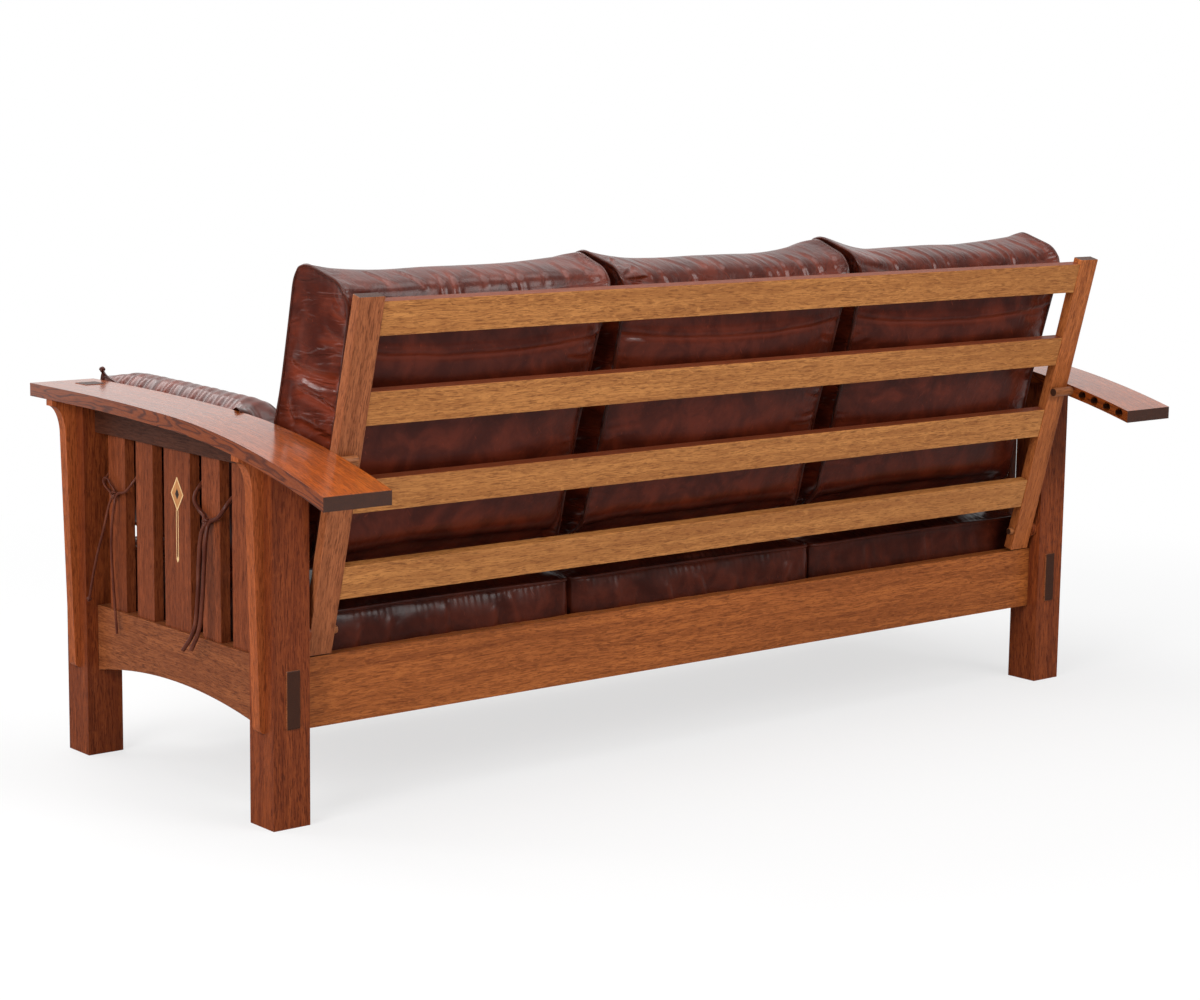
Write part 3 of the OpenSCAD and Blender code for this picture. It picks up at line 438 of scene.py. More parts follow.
# Finishes of the wood, metal and inlay that the model already has in place.
# Two names match two lines: the later finish holds, and their edges are eased twice.
finishes = {
    "leg_": oak_post,
    "arm_": oak_arm,
    "front_rail": oak_seat_rail,
    "rear_rail": oak_seat_rail,
    "lower_side_rail": oak_side,
    # Painted shade: the upper side rails take the darker copy of the side oak
    "upper_side_rail": oak_painted_shade,
    "side_slat": oak_slat,
    "corbel": oak_corbel,
    "back_stile": oak_stile,
    "back_stile_right": oak_far_stile,
    "back_rail": oak_back_rail,
    "back_rail_4": oak_top_rail,
    "pivot_pin": oak_peg,
    "pivot_washer": oak_washer,
    "support_peg": oak_peg,
    "seat_cleat": oak_cleat,
    "seat_slats": oak_deck,
    "inlay": veneer,
    "cleat_screws": zinc,
}
sharp_pieces = ("inlay", "cleat_screws")
eased_edge = 0.0012
for name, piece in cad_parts.items():
    for start, material in finishes.items():
        if not name.startswith(start):
            continue
        for material_slot in piece.material_slots:
            material_slot.material = material
        if name.startswith(sharp_pieces):
            continue
        weld = piece.modifiers.new("weld", "WELD")
        weld.merge_threshold = 0.00001
        ease = piece.modifiers.new("eased_edges", "BEVEL")
        ease.width = eased_edge
        ease.segments = 2
        ease.limit_method = "ANGLE"
        ease.angle_limit = math.radians(35)
        piece.modifiers.new("even_shading", "WEIGHTED_NORMAL").keep_sharp = True

# Soft forms between eight corners in millimetres, as in the construction, with places a, b, c from 0 to 1.
# Crowns are a form's swell over both ends of a, then at low b, high b, low c and high c.
# Its seams run round the two ends of its first axis or of its last.
crown_power = 0.62
flat, tuck = (0, 0, 0, 0, 0), 7
first_axis, last_axis = 0, 2


def bump(q):
    return 4 * q * (1 - q)


def swell(u, v):
    return max(bump(u) * bump(v), 0.0) ** crown_power


def form_point(k, crowns, axes, tuck, a, b, c):
    """Point of the form between the corners k, with its crowns, and its edges drawn in by the tuck."""
    low = k[0][0][0].lerp(k[0][0][1], a).lerp(k[0][1][0].lerp(k[0][1][1], a), b)
    high = k[1][0][0].lerp(k[1][0][1], a).lerp(k[1][1][0].lerp(k[1][1][1], a), b)
    edge = tuck * (1 - bump(c))
    over = (2 * a - 1) * (crowns[0] * swell(b, c) - edge * bump(b))
    along = (2 * b - 1) * ((crowns[1] if b < 0.5 else crowns[2]) * swell(a, c) - edge * bump(a))
    through = (2 * c - 1) * (crowns[3] if c < 0.5 else crowns[4]) * swell(a, b)
    return low.lerp(high, c) + over * axes[0] + along * axes[1] + through * axes[2]


def crowned(k, crowns, axes, sharp, turned):
    """Point of the flat form with turned corners, and the step that its crowns and tuck add to it."""
    crown = form_point(k, crowns, axes, tuck, *sharp) - form_point(k, flat, axes, 0, *sharp)
    return form_point(k, flat, axes, 0, *turned), crown


def smooth(q):
    q = min(max(q, 0.0), 1.0)
    return q * q * (3 - 2 * q)


def rounded(u, v, radius):
    """Moves a point at distances u and v from two faces on to a corner of that radius."""
    if u >= radius or v >= radius:
        return u, v
    p, q = radius - u, radius - v
    pull = max(p, q) / math.hypot(p, q)
    return radius - p * pull, radius - q * pull


def turned_corners(b, c, height, depth, radii):
    """Rounds the four corners of the section b by c.

    The radii run low front, low rear, high front, high rear."""
    u, v = b * height, c * depth
    high, rear = u > height / 2, v > depth / 2
    if high:
        u = height - u
    if rear:
        v = depth - v
    u, v = rounded(u, v, radii[2 * high + rear])
    return (height - u if high else u) / height, (depth - v if rear else v) / depth


def pucker(along, away, pitch, reach, seed):
    """Small gathers square to a seam, fading with the distance from it."""
    wander = 4.4 * noise.noise(Vector((along / 70, seed, 0.5)))
    strength = 0.6 + 0.8 * noise.noise(Vector((along / 45, seed, 7.5)))
    wave = math.sin(2 * math.pi * along / pitch + wander)
    return strength * wave * math.exp(-away / reach) * smooth(away / 5)


def fold_height(p, q, folds):
    """Height at (p, q) of folds that each run from one point to another, with a crest and a hollow above it.

    A fold is its two points, how far it bends, how high it stands and how wide it is."""
    height = crest = 0.0
    for p0, q0, p1, q1, bend, tall, wide in folds:
        run_p, run_q = p1 - p0, q1 - q0
        length = math.hypot(run_p, run_q)
        t = ((p - p0) * run_p + (q - q0) * run_q) / length ** 2
        if not 0 < t < 1:
            continue
        off = ((q - q0) * run_p - (p - p0) * run_q) / length + bend * 4 * t * (1 - t)
        if abs(off) > 4 * wide:
            continue
        ends = smooth(t / 0.25) * smooth((1 - t) / 0.15) * tall
        top = math.exp(-(off / wide) ** 2)
        height += ends * (top - 0.7 * math.exp(-((off - 1.5 * wide) / wide) ** 2))
        crest = max(crest, ends * top / 4)
    return height, crest


def smooth_piece(name, bm):
    """Smooth-shaded piece of a finished bmesh, with its faces pointing outwards."""
    bmesh.ops.recalc_face_normals(bm, faces=bm.faces)
    for face in bm.faces:
        face.smooth = True
    mesh = bpy.data.meshes.new(name)
    bm.to_mesh(mesh)
    bm.free()
    return linked(name, mesh)


def cut_form(name, cells, shape):
    """Closed form, cut from a cube into cells, with each point placed by shape.

    Returns it with the a, b, c places of its points."""
    bm = bmesh.new()
    bmesh.ops.create_cube(bm, size=1)
    for axis, count in enumerate(cells):
        rows = [e for e in bm.edges if abs((e.verts[0].co - e.verts[1].co)[axis]) > 0.5 / max(cells)]
        bmesh.ops.subdivide_edges(bm, edges=rows, cuts=count - 1)
    half = Vector((0.5, 0.5, 0.5))
    places = [tuple(round(q, 6) for q in v.co + half) for v in bm.verts]
    for v, (a, b, c) in zip(bm.verts, places):
        v.co = shape(a, b, c)
    return smooth_piece(name, bm), places


filling_steps, filling_pressure, furthest, evening = 20, 4, 0.008, 10


def puffed(piece, held, growth):
    """Fills a form as a slightly large leather case held at its seams, moving no point too far.

    The last passes even out ripples that are as fine as the cells."""
    rest = [v.co.copy() for v in piece.data.vertices]
    seam = piece.vertex_groups.new(name="seam")
    seam.add(held, 1.0, "REPLACE")
    case = piece.modifiers.new("case", "CLOTH")
    settings = case.settings
    settings.quality = 5
    settings.mass = 0.4
    settings.tension_stiffness = settings.compression_stiffness = 12
    settings.shear_stiffness = 4
    settings.bending_stiffness = 0.6
    settings.use_pressure = True
    settings.uniform_pressure_force = filling_pressure
    settings.shrink_min = -growth
    settings.vertex_group_mass = "seam"
    settings.effector_weights.gravity = 0
    case.collision_settings.use_collision = False
    case.point_cache.frame_start, case.point_cache.frame_end = 1, filling_steps
    scene = bpy.context.scene
    for step in range(1, filling_steps + 1):
        scene.frame_set(step)
    grown = piece.evaluated_get(bpy.context.evaluated_depsgraph_get()).data
    steps = [v.co.copy() - was for was, v in zip(rest, grown.vertices)]
    piece.modifiers.remove(case)
    piece.vertex_groups.remove(seam)
    beside = [[] for _ in rest]
    for edge in piece.data.edges:
        one, other = edge.vertices
        beside[one].append(other)
        beside[other].append(one)
    still = set(held)
    for _ in range(evening):
        around = [sum((steps[n] for n in near), Vector()) / len(near) for near in beside]
        steps = [step if i in still else (step + around[i]) / 2 for i, step in enumerate(steps)]
    for v, was, step in zip(piece.data.vertices, rest, steps):
        v.co = was + step * min(1.0, furthest / max(step.length, 1e-9))
    scene.frame_set(1)


def finer(piece, places):
    """Halves the cells of a form, rounding it, and returns the places of its new points."""
    marks = piece.data.attributes.new("place", "FLOAT_VECTOR", "POINT")
    for mark, place_in_form in zip(marks.data, places):
        mark.vector = place_in_form
    rounding = piece.modifiers.new("rounding", "SUBSURF")
    rounding.levels = rounding.render_levels = 1
    grown = bpy.data.meshes.new_from_object(piece.evaluated_get(bpy.context.evaluated_depsgraph_get()))
    piece.modifiers.remove(rounding)
    piece.data = grown
    finer_places = [tuple(round(q, 5) for q in mark.vector) for mark in grown.attributes["place"].data]
    grown.attributes.remove(grown.attributes["place"])
    return finer_places


def wrinkled(piece, places, depth_at):
    """Raises each point by the millimetres that depth_at(a, b, c) gives.

    It also gives how worn and how creased the point is, which is kept for the finish."""
    piece.data.update()
    normals = [v.normal.copy() for v in piece.data.vertices]
    measures = [depth_at(*place_in_form) for place_in_form in places]
    for v, n, (height, _, _) in zip(piece.data.vertices, normals, measures):
        v.co += n * height / 1000
    for column, label in ((1, "ridge"), (2, "creased")):
        marks = piece.data.attributes.new(label, "FLOAT", "POINT")
        for mark, measure in zip(marks.data, measures):
            mark.value = min(max(measure[column], 0.0), 1.0)
    piece.data.update()


def on_seams(place_in_form, axis):
    """Whether a place is on one of the seams round the two ends of an axis."""
    ends = [q in (0, 1) for q in place_in_form]
    return ends[axis] and sum(ends) > 1


def seam_loop(piece, places, axis, end):
    """Points of the closed seam round one end of an axis, in order round it."""
    other = last_axis - axis
    loop = [(math.atan2(p[1] - 0.5, p[other] - 0.5), v.co.copy()) for p, v in zip(places, piece.data.vertices)
            if p[axis] == end and on_seams(p, axis)]
    return [co for _, co in sorted(loop, key=lambda item: item[0])]


def piping(name, points, thickness, body):
    cord, _ = strand(name, points, thickness, closed=True)
    cord.data.resolution_u = 2
    cord.data.bevel_resolution = 2
    return finished(cord, body, piping_leather)


def cushion(name, node, body, cells, shape, axis, wrinkles, growth, cords, cord_width):
    """Cuts, puffs, wrinkles and pipes a cushion whose seams run round the two ends of an axis.

    Returns the points of its last seam."""
    piece, places = cut_form(name, cells, shape)
    puffed(piece, [n for n, p in enumerate(places) if on_seams(p, axis)], growth)
    places = finer(piece, places)
    wrinkled(piece, places, wrinkles)
    # Seats take the darker copy of the leather: painted shade
    finished(piece, body, seat_leather_painted_shade if node.startswith("seat") else leather)
    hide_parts(node)
    for end, cord in enumerate(cords):
        loop = seam_loop(piece, places, axis, end)[::2]
        piping(cord, loop, cord_width, body)
    return loop


def corner_set(corner):
    """The eight corners of a form, as [c][b][a]."""
    return [[[corner(a, b, c) for a in (0, 1)] for b in (0, 1)] for c in (0, 1)]


# Back cushions: two side panels joined by a wrap that runs up the front, over the top and down the rear
pivot = Vector((0, 240.8, 340))
frame_low, cushion_rear, cushion_front = 41, -39, -194
cushion_lift = -21.8665
rear_high = 658 - frame_low
rear_low, front_low = 165 - frame_low + cushion_lift, 77 - frame_low + cushion_lift
back_w, back_h, back_d = 612, 515, 155
back_gap, rear_inset = 0.6, 15
back_crowns = (0, 12, 12, 30, 28.2)
back_radii = (34, 46, 42, 52)
shoulder_radius, front_sag, sag_top, sag_run = 16, 15, 0.66, 0.4
# The rear panel's cross seam, its place up the panel and how far it hangs
seam_share, seam_hang = 0.78, 9


def tilted(p):
    return Vector((p.x, pivot.y + p.y * math.cos(lean) + p.z * math.sin(lean),
                   pivot.z + p.z * math.cos(lean) - p.y * math.sin(lean)))


def back_shape(x0, ears, far_end):
    """Form of a back cushion from x0.

    ears: height and width at the far end, the same at the near end, and the level between them.
    far_end: how far its rear is drawn in, then the shoulder's radius at the top and what it gains below."""
    low = {0: front_low, 1: rear_low}
    y = {0: cushion_front, 1: cushion_rear}
    far_tall, far_wide, near_tall, near_wide, level = ears
    far_inset, round_high, round_more = far_end

    def corner(a, b, c):
        inset = c * (-rear_inset if a else far_inset)
        return Vector((x0 + a * back_w + inset, y[c], rear_high if b else low[c]))

    k = corner_set(corner)
    axes = [Vector((1, 0, 0)), Vector((0, 0, 1)), Vector((0, 1, 0))]

    def shape(a, b, c):
        rb, rc = turned_corners(b, c, back_h, back_d, back_radii)
        far_radius = (round_high + round_more * (1 - b)) * smooth(6 * (1 - b) + 0.2)
        u, v = rounded(min(a, 1 - a) * back_w, (1 - rc) * back_d, far_radius if a < 0.5 else shoulder_radius)
        ra, rc = (u if a < 0.5 else back_w - u) / back_w, 1 - v / back_d
        base, crown = crowned(k, back_crowns, axes, (a, b, c), (ra, rb, rc))
        base.y -= front_sag * smooth((sag_top - b) / sag_run) * (1 - c)
        ear = (far_tall * math.exp(-(a * back_w / far_wide) ** 2) + level
               + near_tall * math.exp(-((1 - a) * back_w / near_wide) ** 2))
        crown.z += ear * smooth((b - 0.72) / 0.28) * (1 - 0.45 * c)
        return tilted(base + crown) / 1000

    return shape


def top_folds(draw):
    """Folds over the top, slantwise to the rear."""
    folds = []
    x = 24.0
    while x < back_w - 50:
        start, length = draw.uniform(30, 70), draw.uniform(70, 140)
        folds.append((x, start, x + length * draw.uniform(-0.3, 0.1), start + length, draw.uniform(-6, 6),
                      draw.uniform(1.0, 2.6), draw.uniform(4.5, 6.5)))
        x += draw.uniform(24, 74)
    for _ in range(6):
        z, x0 = draw.uniform(-420, -120), draw.choice((6, back_w - 96))
        folds.append((x0, z, x0 + 90, z + draw.uniform(-14, 14), draw.uniform(-5, 5),
                      draw.uniform(1.5, 2.6), 8))
    return folds


# Folds of the side panel that shows, as (y, z) places from its lower front corner
shown_folds = [
    (96, 462, 154, 454, 4, 3.4, 5), (100, 482, 130, 468, -3, 2.2, 4), (84, 434, 156, 420, 7, 2.4, 6),
    (74, 407, 157, 408, -5, 3.6, 6), (2, 356, 158, 350, 6, 7.0, 12), (50, 341, 156, 336, 4, 2.8, 5),
    (106, 322, 158, 322, 3, 2.4, 5), (28, 318, 158, 284, -9, 6.5, 10), (20, 300, 50, 262, 4, 3.0, 7),
    (40, 268, 154, 236, -6, 3.6, 9), (60, 205, 156, 176, -8, 5.0, 10), (14, 190, 110, 140, -6, 4.5, 10),
    (30, 96, 156, 66, -7, 4.5, 10),
]


def side_folds(draw):
    """Folds of a side panel, each sloping down to the rear seam."""
    folds = []
    z = back_h - 60
    while z > 30:
        y0 = draw.uniform(8, 62)
        folds.append((y0, z, 157, z - (157 - y0) * draw.uniform(0.0, 0.3), draw.uniform(-9, 6),
                      draw.uniform(3.2, 6.2), draw.uniform(6, 11)))
        z -= draw.uniform(34, 54)
    return folds


def rear_folds(draw):
    """Short faint folds of the rear panel, in from its upright seams."""
    folds = []
    for x0, way in ((5, 1), (back_w - 5, -1)):
        for _ in range(9):
            z, length = draw.uniform(60, 470), draw.uniform(40, 95)
            folds.append((x0, z, x0 + way * length, z + draw.uniform(-8, 16), 3,
                          draw.uniform(1.0, 2.3), draw.uniform(4, 7)))
    return folds


def corner_folds():
    """Crumples at the upper rear corner of the middle cushion."""
    return [(back_w - 6, 150, back_w - 66, 96, 4, 5.0, 4.5), (back_w - 3, 128, back_w - 48, 58, -4, 4.4, 4.5),
            (back_w - 4, 163, back_w - 84, 138, 3, 4.2, 4.5), (back_w - 18, 168, back_w - 96, 176, 3, 3.4, 5)]


shown_seed, seed_step = 3, 17
far_below = 1000.0


def back_wrinkles(seed, crumpled):
    """Wrinkles of a back cushion: its two side panels, and the wrap with its cross seam."""
    draw = random.Random(seed)
    over_top = top_folds(draw) + (corner_folds() if crumpled else [])
    panel = {0: side_folds(draw), 1: shown_folds if seed == shown_seed else side_folds(draw)}
    rear = rear_folds(draw)

    def depth_at(a, b, c):
        x, z, y = a * back_w, b * back_h, c * back_d
        if a in (0, 1):
            away = min(z, back_h - z, y, back_d - y)
            along = z if min(y, back_d - y) < min(z, back_h - z) else y
            height, crest = fold_height(y, z, panel[a])
            soft = noise.noise(Vector((y / 80, z / 60, seed + 11)))
            creased = smooth(away / 10) * (0.5 + 0.6 * c)
            height = smooth(away / 8) * (height + 2.6 * soft) + 1.2 * pucker(along, away, 17, 16, seed)
            return height, crest, creased
        away = min(x, back_w - x)
        along = y if b in (0, 1) else z
        over = y if b == 1 else (z - back_h if c == 0 else back_d + back_h - z)
        if b == 0:
            over = far_below
        height, crest = fold_height(x, over, over_top)
        if c == 1:
            small, small_crest = fold_height(x, z, rear)
            height, crest = height + small, max(crest, small_crest)
        soft = noise.noise(Vector((x / 110, over / 90, seed + 21)))
        height = smooth(away / 10) * (height + 2.2 * soft) + 1.2 * pucker(along, away, 16, 20, seed + a)
        if c == 1:
            seam_z = back_h * seam_share - seam_hang * bump(a) + 1.5 * noise.noise(Vector((x / 60, seed, 3)))
            gap = z - seam_z
            height += 2.4 * math.exp(-(gap / 5) ** 2) - 3.4 * math.exp(-((gap - 12) / 8) ** 2)
            crest = max(crest, 0.7 * math.exp(-(gap / 5) ** 2))
        creased = (0.4 if b == 1 else 0.05) + 0.25 * math.exp(-away / 50)
        return height, crest, creased * smooth(away / 10)
    return depth_at


back_ears = {"left": (16, 160, 15, 78, -3), "middle": (23, 105, 20, 82, -3), "right": (20, 120, 29, 70, -4)}
far_ends = {"left": (15, 14, 36), "middle": (15, 2, 32), "right": (0, 4, 12)}
row_start = 945 - 2 * back_gap
for i, side in enumerate(("left", "middle", "right")):
    x0 = row_start - i * (back_w + back_gap) - back_w
    cushion(f"{side}_back_cushion", f"back_cushion_{side}", "back_cushions", (64, 56, 18),
            back_shape(x0, back_ears[side], far_ends[side]), first_axis,
            back_wrinkles(shown_seed + seed_step * i, side == "middle"), growth=0.02,
            cords=(f"{side}_back_piping_right", f"{side}_back_piping_left"), cord_width=0.006)

# Seat cushions: a top and a bottom panel round a boxing, piped along both seams
deck_rear, deck_z, deck_slope = 207.7, 236, math.tan(math.radians(5))
seat_front, seat_rear, seat_w, seat_boxing = -405.7, 203.7, 635.6, 125
seat_d = seat_rear - seat_front
seat_gap, rest_fit, boxing_swell = 0.6, 0.3, 2.5
seat_crowns, seat_radii = (4, 0, 0, 0, 42), (22, 22, 22, 22)


def deck_top(y):
    """Height of the sloping deck."""
    return deck_z + (deck_rear - y) * deck_slope


def seat_shape(x0):
    def corner(a, b, c):
        y = seat_rear if a else seat_front
        return Vector((x0 + b * (seat_w - seat_gap), y, deck_top(y) + rest_fit + c * seat_boxing))

    k = corner_set(corner)
    axes = [Vector((0, 1, -deck_slope)), Vector((1, 0, 0)), Vector((0, 0, 1))]

    def shape(a, b, c):
        turned = turned_corners(a, b, seat_d, seat_w, seat_radii) + (c,)
        base, crown = crowned(k, seat_crowns, axes, (a, b, c), turned)
        return (base + crown) / 1000

    return shape


def inward_folds(draw, ends, spacing):
    """Folds that run in from the seams of a seat cushion's top."""
    folds = []
    for side_is_x, wide, deep in ends:
        place_along = 40.0
        while place_along < wide - 40:
            start, length, lean_over = draw.uniform(6, 18), draw.uniform(50, 130), draw.uniform(-25, 25)
            far_side = draw.random() < 0.5
            q0, q1 = (deep - start, deep - start - length) if far_side else (start, start + length)
            ends_at = (place_along, q0, place_along + lean_over, q1)
            if not side_is_x:
                ends_at = (q0, place_along, q1, place_along + lean_over)
            folds.append(ends_at + (draw.uniform(-5, 5), draw.uniform(1.2, 3.0), draw.uniform(5, 8)))
            place_along += draw.uniform(0.6, 1.4) * spacing
    return folds


def boxing_folds(draw, length):
    """Upright folds of a boxing of that length."""
    folds = []
    along = 24.0
    while along < length - 24:
        low, high = draw.uniform(4, 50), draw.uniform(80, 121)
        folds.append((along, low, along + draw.uniform(-26, 26), high, draw.uniform(-6, 6),
                      draw.uniform(1.0, 2.4), draw.uniform(5, 9)))
        along += draw.uniform(36, 110)
    return folds


def seat_wrinkles(seed):
    """Wrinkles of a seat cushion: its top, and the boxing round it. The underside is plain."""
    draw = random.Random(seed)
    top = inward_folds(draw, ((True, seat_w, seat_d), (False, seat_d, seat_w)), 60)
    boxing = {True: boxing_folds(draw, seat_w), False: boxing_folds(draw, seat_d)}

    def depth_at(a, b, c):
        x, y, z = b * seat_w, a * seat_d, c * seat_boxing
        if c in (0, 1):
            if c == 0:
                return 0.0, 0.0, 0.0
            away = min(x, seat_w - x, y, seat_d - y)
            along = x if min(y, seat_d - y) < min(x, seat_w - x) else y
            height, crest = fold_height(x, y, top)
            soft = noise.noise(Vector((x / 130, y / 130, seed)))
            creased = 0.06 + 0.2 * math.exp(-away / 60)
            height = smooth(away / 16) * (height + 3.0 * soft) + 1.4 * pucker(along, away, 19, 24, seed)
            return height, crest, creased
        away = min(z, seat_boxing - z)
        along = x if a in (0, 1) else y
        height, crest = fold_height(along, z, boxing[a in (0, 1)])
        soft = noise.noise(Vector((along / 70, z / 70, seed + 31)))
        inward = 0.0 if a in (0, 1) else -1.5
        height = smooth(away / 12) * (height + 1.4 * soft + inward) + 1.1 * pucker(along, away, 14, 22, seed)
        return min(height, boxing_swell), crest, 0.06
    return depth_at


for i, side in enumerate(("right", "middle", "left")):
    x0 = (i - 1.5) * seat_w + seat_gap / 2
    cushion(f"{side}_seat_cushion", f"seat_cushion_{side}", "base", (62, 64, 14),
            seat_shape(x0), last_axis, seat_wrinkles(8 + 13 * i), growth=0.03,
            cords=(f"{side}_seat_piping_low", f"{side}_seat_piping_top"), cord_width=0.008)

# Side pillows: gathered along their top seams, with a raised outer seam that has an ear at each upper corner
pillow_x, pillow_t, pillow_front, pillow_rear = 930, 88, -494.5, 41.45
pillow_z, pillow_drop, pillow_foot = 726, 12, 156.684
pillow_h, pillow_l = 290, pillow_rear - pillow_front
pillow_crowns, pillow_dip = (9, 7, 7, 31, 31), 11
# Radii of the foot, of the top's front and rear, and what the last two lose toward the outer seam
foot_radius, top_radii, top_sharper = 30, (46, 100), (30, 78)
rib_pitch, rib_height = 31, 2.7


def pillow_shape(out):
    def corner(a, b, c):
        y = pillow_rear if b else pillow_front
        low = deck_top(y) + pillow_foot
        return Vector((pillow_x - pillow_t * (1 - c), y, pillow_z - pillow_drop * b if a else low))

    k = corner_set(corner)
    axes = [Vector((0, 0, 1)), Vector((0, 1, 0)), Vector((1, 0, 0))]

    def shape(a, b, c):
        outer = smooth((c - 0.5) * 2)
        radii = [foot_radius] * 2 + [r - less * outer for r, less in zip(top_radii, top_sharper)]
        turned = turned_corners(a, b, pillow_h, pillow_l, radii) + (c,)
        base, crown = crowned(k, pillow_crowns, axes, (a, b, c), turned)
        at = base + crown
        at.z -= pillow_dip * smooth(bump(b) * 1.6) * (a * c) ** 4
        return Vector((out * at.x, at.y, at.z)) / 1000

    return shape


def pillow_wrinkles(seed):
    """Ribs gathered at a pillow's top seams, that fade down its faces and over its top."""
    def depth_at(a, b, c):
        z, y, x = a * pillow_h, b * pillow_l, c * pillow_t
        below = pillow_h - z if a != 1 else 0.0
        across = (pillow_t - x) if a == 1 else 0.0
        wander = 3 * noise.noise(Vector((y / 60, 0.4, seed)))
        rib = math.sin(2 * math.pi * (y + 0.55 * across + 0.3 * below) / rib_pitch + 0.5 * wander)
        swing = 0.8 + 0.5 * noise.noise(Vector((y / 50, seed, 4)))
        reach = math.exp(-below / 34) * smooth(min(b, 1 - b) * 9) * swing
        if a == 1:
            reach *= 0.2 + 0.8 * math.exp(-(across / 38) ** 2)
        if b in (0, 1):
            reach = 0.0
        soft = noise.noise(Vector((y / 90, z / 70, seed + 3 + c)))
        away = min(x, pillow_t - x) if a == 1 else (below if c in (0, 1) else 20.0)
        height = smooth((away + 3) / 12) * rib_height * rib * reach + 2.0 * soft * smooth(below / 30)
        return height, max(rib, 0.0) * reach * 0.7, 0.05
    return depth_at


def seam_flange(name, loop, out, thickness, body):
    """Raised double seam round a pillow, drawn out to an ear at both upper corners."""
    middle = sum(loop, Vector()) / len(loop)
    front_ear = max(loop, key=lambda p: p.z - 1.2 * p.y)
    rear_ear = max(loop, key=lambda p: p.z + 1.2 * p.y)
    outwards = Vector((out, 0, 0))
    to_front_ear, to_rear_ear = Vector((out * 0.1, -0.2, 1.0)), Vector((out, 0.1, 0.3))
    bm = bmesh.new()
    root = [bm.verts.new(p) for p in loop]
    edges = [bm.edges.new((root[i - 1], root[i])) for i in range(len(root))]
    drawn = bmesh.ops.extrude_edge_only(bm, edges=edges)["geom"]
    for tip in (g for g in drawn if isinstance(g, bmesh.types.BMVert)):
        away = ((tip.co - middle) * Vector((0, 1, 1))).normalized()
        front = math.exp(-((tip.co - front_ear).length / 0.020) ** 1.4)
        rear = math.exp(-((tip.co - rear_ear).length / 0.036) ** 2)
        wave = noise.noise(tip.co * 60) * 0.0022
        way = (away * 0.5 + outwards).lerp(to_front_ear, front).lerp(to_rear_ear, rear)
        tip.co += way.normalized() * (0.004 + 0.015 * front + 0.022 * rear) + Vector((out * wave, 0, wave))
    bmesh.ops.recalc_face_normals(bm, faces=bm.faces)
    bmesh.ops.solidify(bm, geom=bm.faces[:], thickness=thickness)
    flange = smooth_piece(name, bm)
    rounding = flange.modifiers.new("rounding", "SUBSURF")
    rounding.levels = rounding.render_levels = 2
    knob_at = front_ear + Vector((out * 0.002, -0.004, 0.017))
    knob, _ = strand(f"{name}_knob", overhand(knob_at, 0.013, 0.006, out), 0.006, closed=True)
    finished(knob, body, piping_leather)
    return finished(flange, body, piping_leather)


for side, out in SIDES.items():
    outer_seam = cushion(
        f"{side}_side_pillow", f"side_pillow_{side}", "base", (34, 80, 14),
        pillow_shape(out), last_axis, pillow_wrinkles(2.1 + 5 * out), growth=0.008,
        cords=(f"{side}_pillow_piping_inner", f"{side}_pillow_piping_outer"), cord_width=0.005)
    seam_flange(f"{side}_pillow_seam", outer_seam, out, 0.0024, "base")

# Floor, light and the white round about. Gloss meets the white only on the far side, like a backdrop.
white, backdrop_way, backdrop_glow = (1, 1, 1, 1), (-0.64, -0.77, 0.0), 0.75


def toward_backdrop(tree, vector):
    return place(tree, "VectorMath", {0: vector, 1: backdrop_way}, operation="DOT_PRODUCT").outputs["Value"]


def seen_straight(tree, path):
    """Rays that come from the camera, straight or through something clear."""
    return maths(tree, "MAXIMUM", path["Is Camera Ray"], path["Is Transmission Ray"])


floor_mesh = bpy.data.meshes.new("floor")
bm = bmesh.new()
bmesh.ops.create_grid(bm, x_segments=1, y_segments=1, size=12)
bm.to_mesh(floor_mesh)
bm.free()
floor = linked("floor", floor_mesh)
paper = new_material("floor_paper")
shader = principled(paper, {"Roughness": 0.9, "Specular IOR Level": 0.1})
tree = paper.node_tree
where = place(tree, "TexCoord").outputs["Object"]
from_middle = place(tree, "VectorMath", {0: where}, operation="LENGTH").outputs["Value"]
path = place(tree, "LightPath").outputs
behind = spread(tree, toward_backdrop(tree, where), 1.0, 2.5, 0.0, backdrop_glow)
behind = times(tree, path["Is Glossy Ray"], behind)
far = times(tree, spread(tree, from_middle, 1.2, 3.0, 0.68, 1.0), seen_straight(tree, path))
far = maths(tree, "MAXIMUM", far, behind)
shade = mixed(tree, path["Is Glossy Ray"], (0.72, 0.72, 0.72, 1), (0.2, 0.2, 0.2, 1))
plug(tree, shader, {"Base Color": shade})
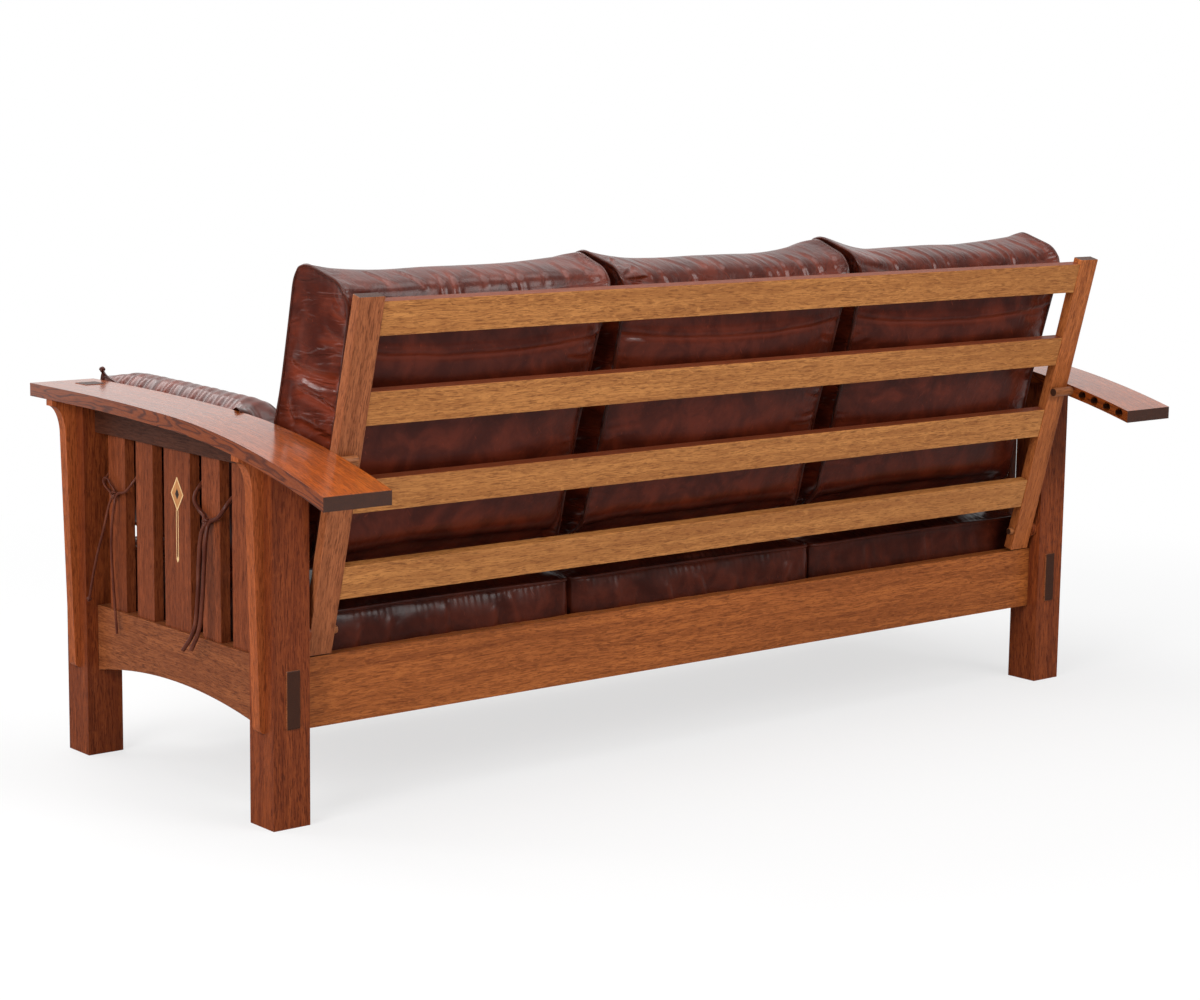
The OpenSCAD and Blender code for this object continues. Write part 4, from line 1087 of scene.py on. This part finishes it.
glow = place(tree, "Emission", {"Color": white, "Strength": 1.0})
sheet = place(tree, "MixShader", {0: far, 1: shader.outputs[0], 2: glow.outputs[0]})
plug(tree, next(n for n in tree.nodes if n.type == "OUTPUT_MATERIAL"), {0: sheet.outputs[0]})
floor.data.materials.append(paper)

world = bpy.data.worlds.new("studio")
bpy.context.scene.world = world
world.use_nodes = True
tree = world.node_tree
tree.nodes.clear()
path = place(tree, "LightPath").outputs
direction = place(tree, "TexCoord").outputs["Generated"]
behind = spread(tree, toward_backdrop(tree, direction), 0.0, 0.6, 0.0, backdrop_glow)
behind = times(tree, path["Is Glossy Ray"], behind)
shown = maths(tree, "MAXIMUM", seen_straight(tree, path), behind)
height = place(tree, "SeparateXYZ", {0: direction}).outputs[2]
dim_strength = spread(tree, height, -0.1, 0.9, 0.12, 0.5)
dim = place(tree, "Background", {"Color": white, "Strength": dim_strength})
bright = place(tree, "Background", {"Color": white, "Strength": 1.0})
choice = place(tree, "MixShader", {0: shown, 1: dim.outputs[0], 2: bright.outputs[0]})
place(tree, "OutputWorld", {0: choice.outputs[0]})


def softbox(name, place_at, aim, width, height, watts):
    """Soft lamp of that width and height in metres."""
    lamp = bpy.data.lights.new(name, "AREA")
    lamp.shape = "RECTANGLE"
    lamp.size, lamp.size_y, lamp.energy = width, height, watts
    box = linked(name, lamp)
    box.location = place_at
    box.rotation_mode = "QUATERNION"
    box.rotation_quaternion = (Vector(aim) - Vector(place_at)).to_track_quat("-Z", "Y")


softbox("key_box", (4.8, 1.6, 2.6), (0.3, 0.0, 0.5), 2.4, 2.0, 165)
softbox("top_box", (0.2, 0.2, 3.6), (0.0, 0.0, 0.5), 3.6, 2.4, 72)
softbox("fill_box", (-1.4, 4.4, 3.2), (0.0, 0.0, 0.5), 2.6, 2.0, 105)
softbox("front_box", (0.6, -3.4, 4.0), (0.0, 0.0, 0.5), 3.0, 2.0, 75)
softbox("side_box", (3.4, -3.0, 3.4), (0.3, 0.0, 0.6), 1.2, 1.2, 42)
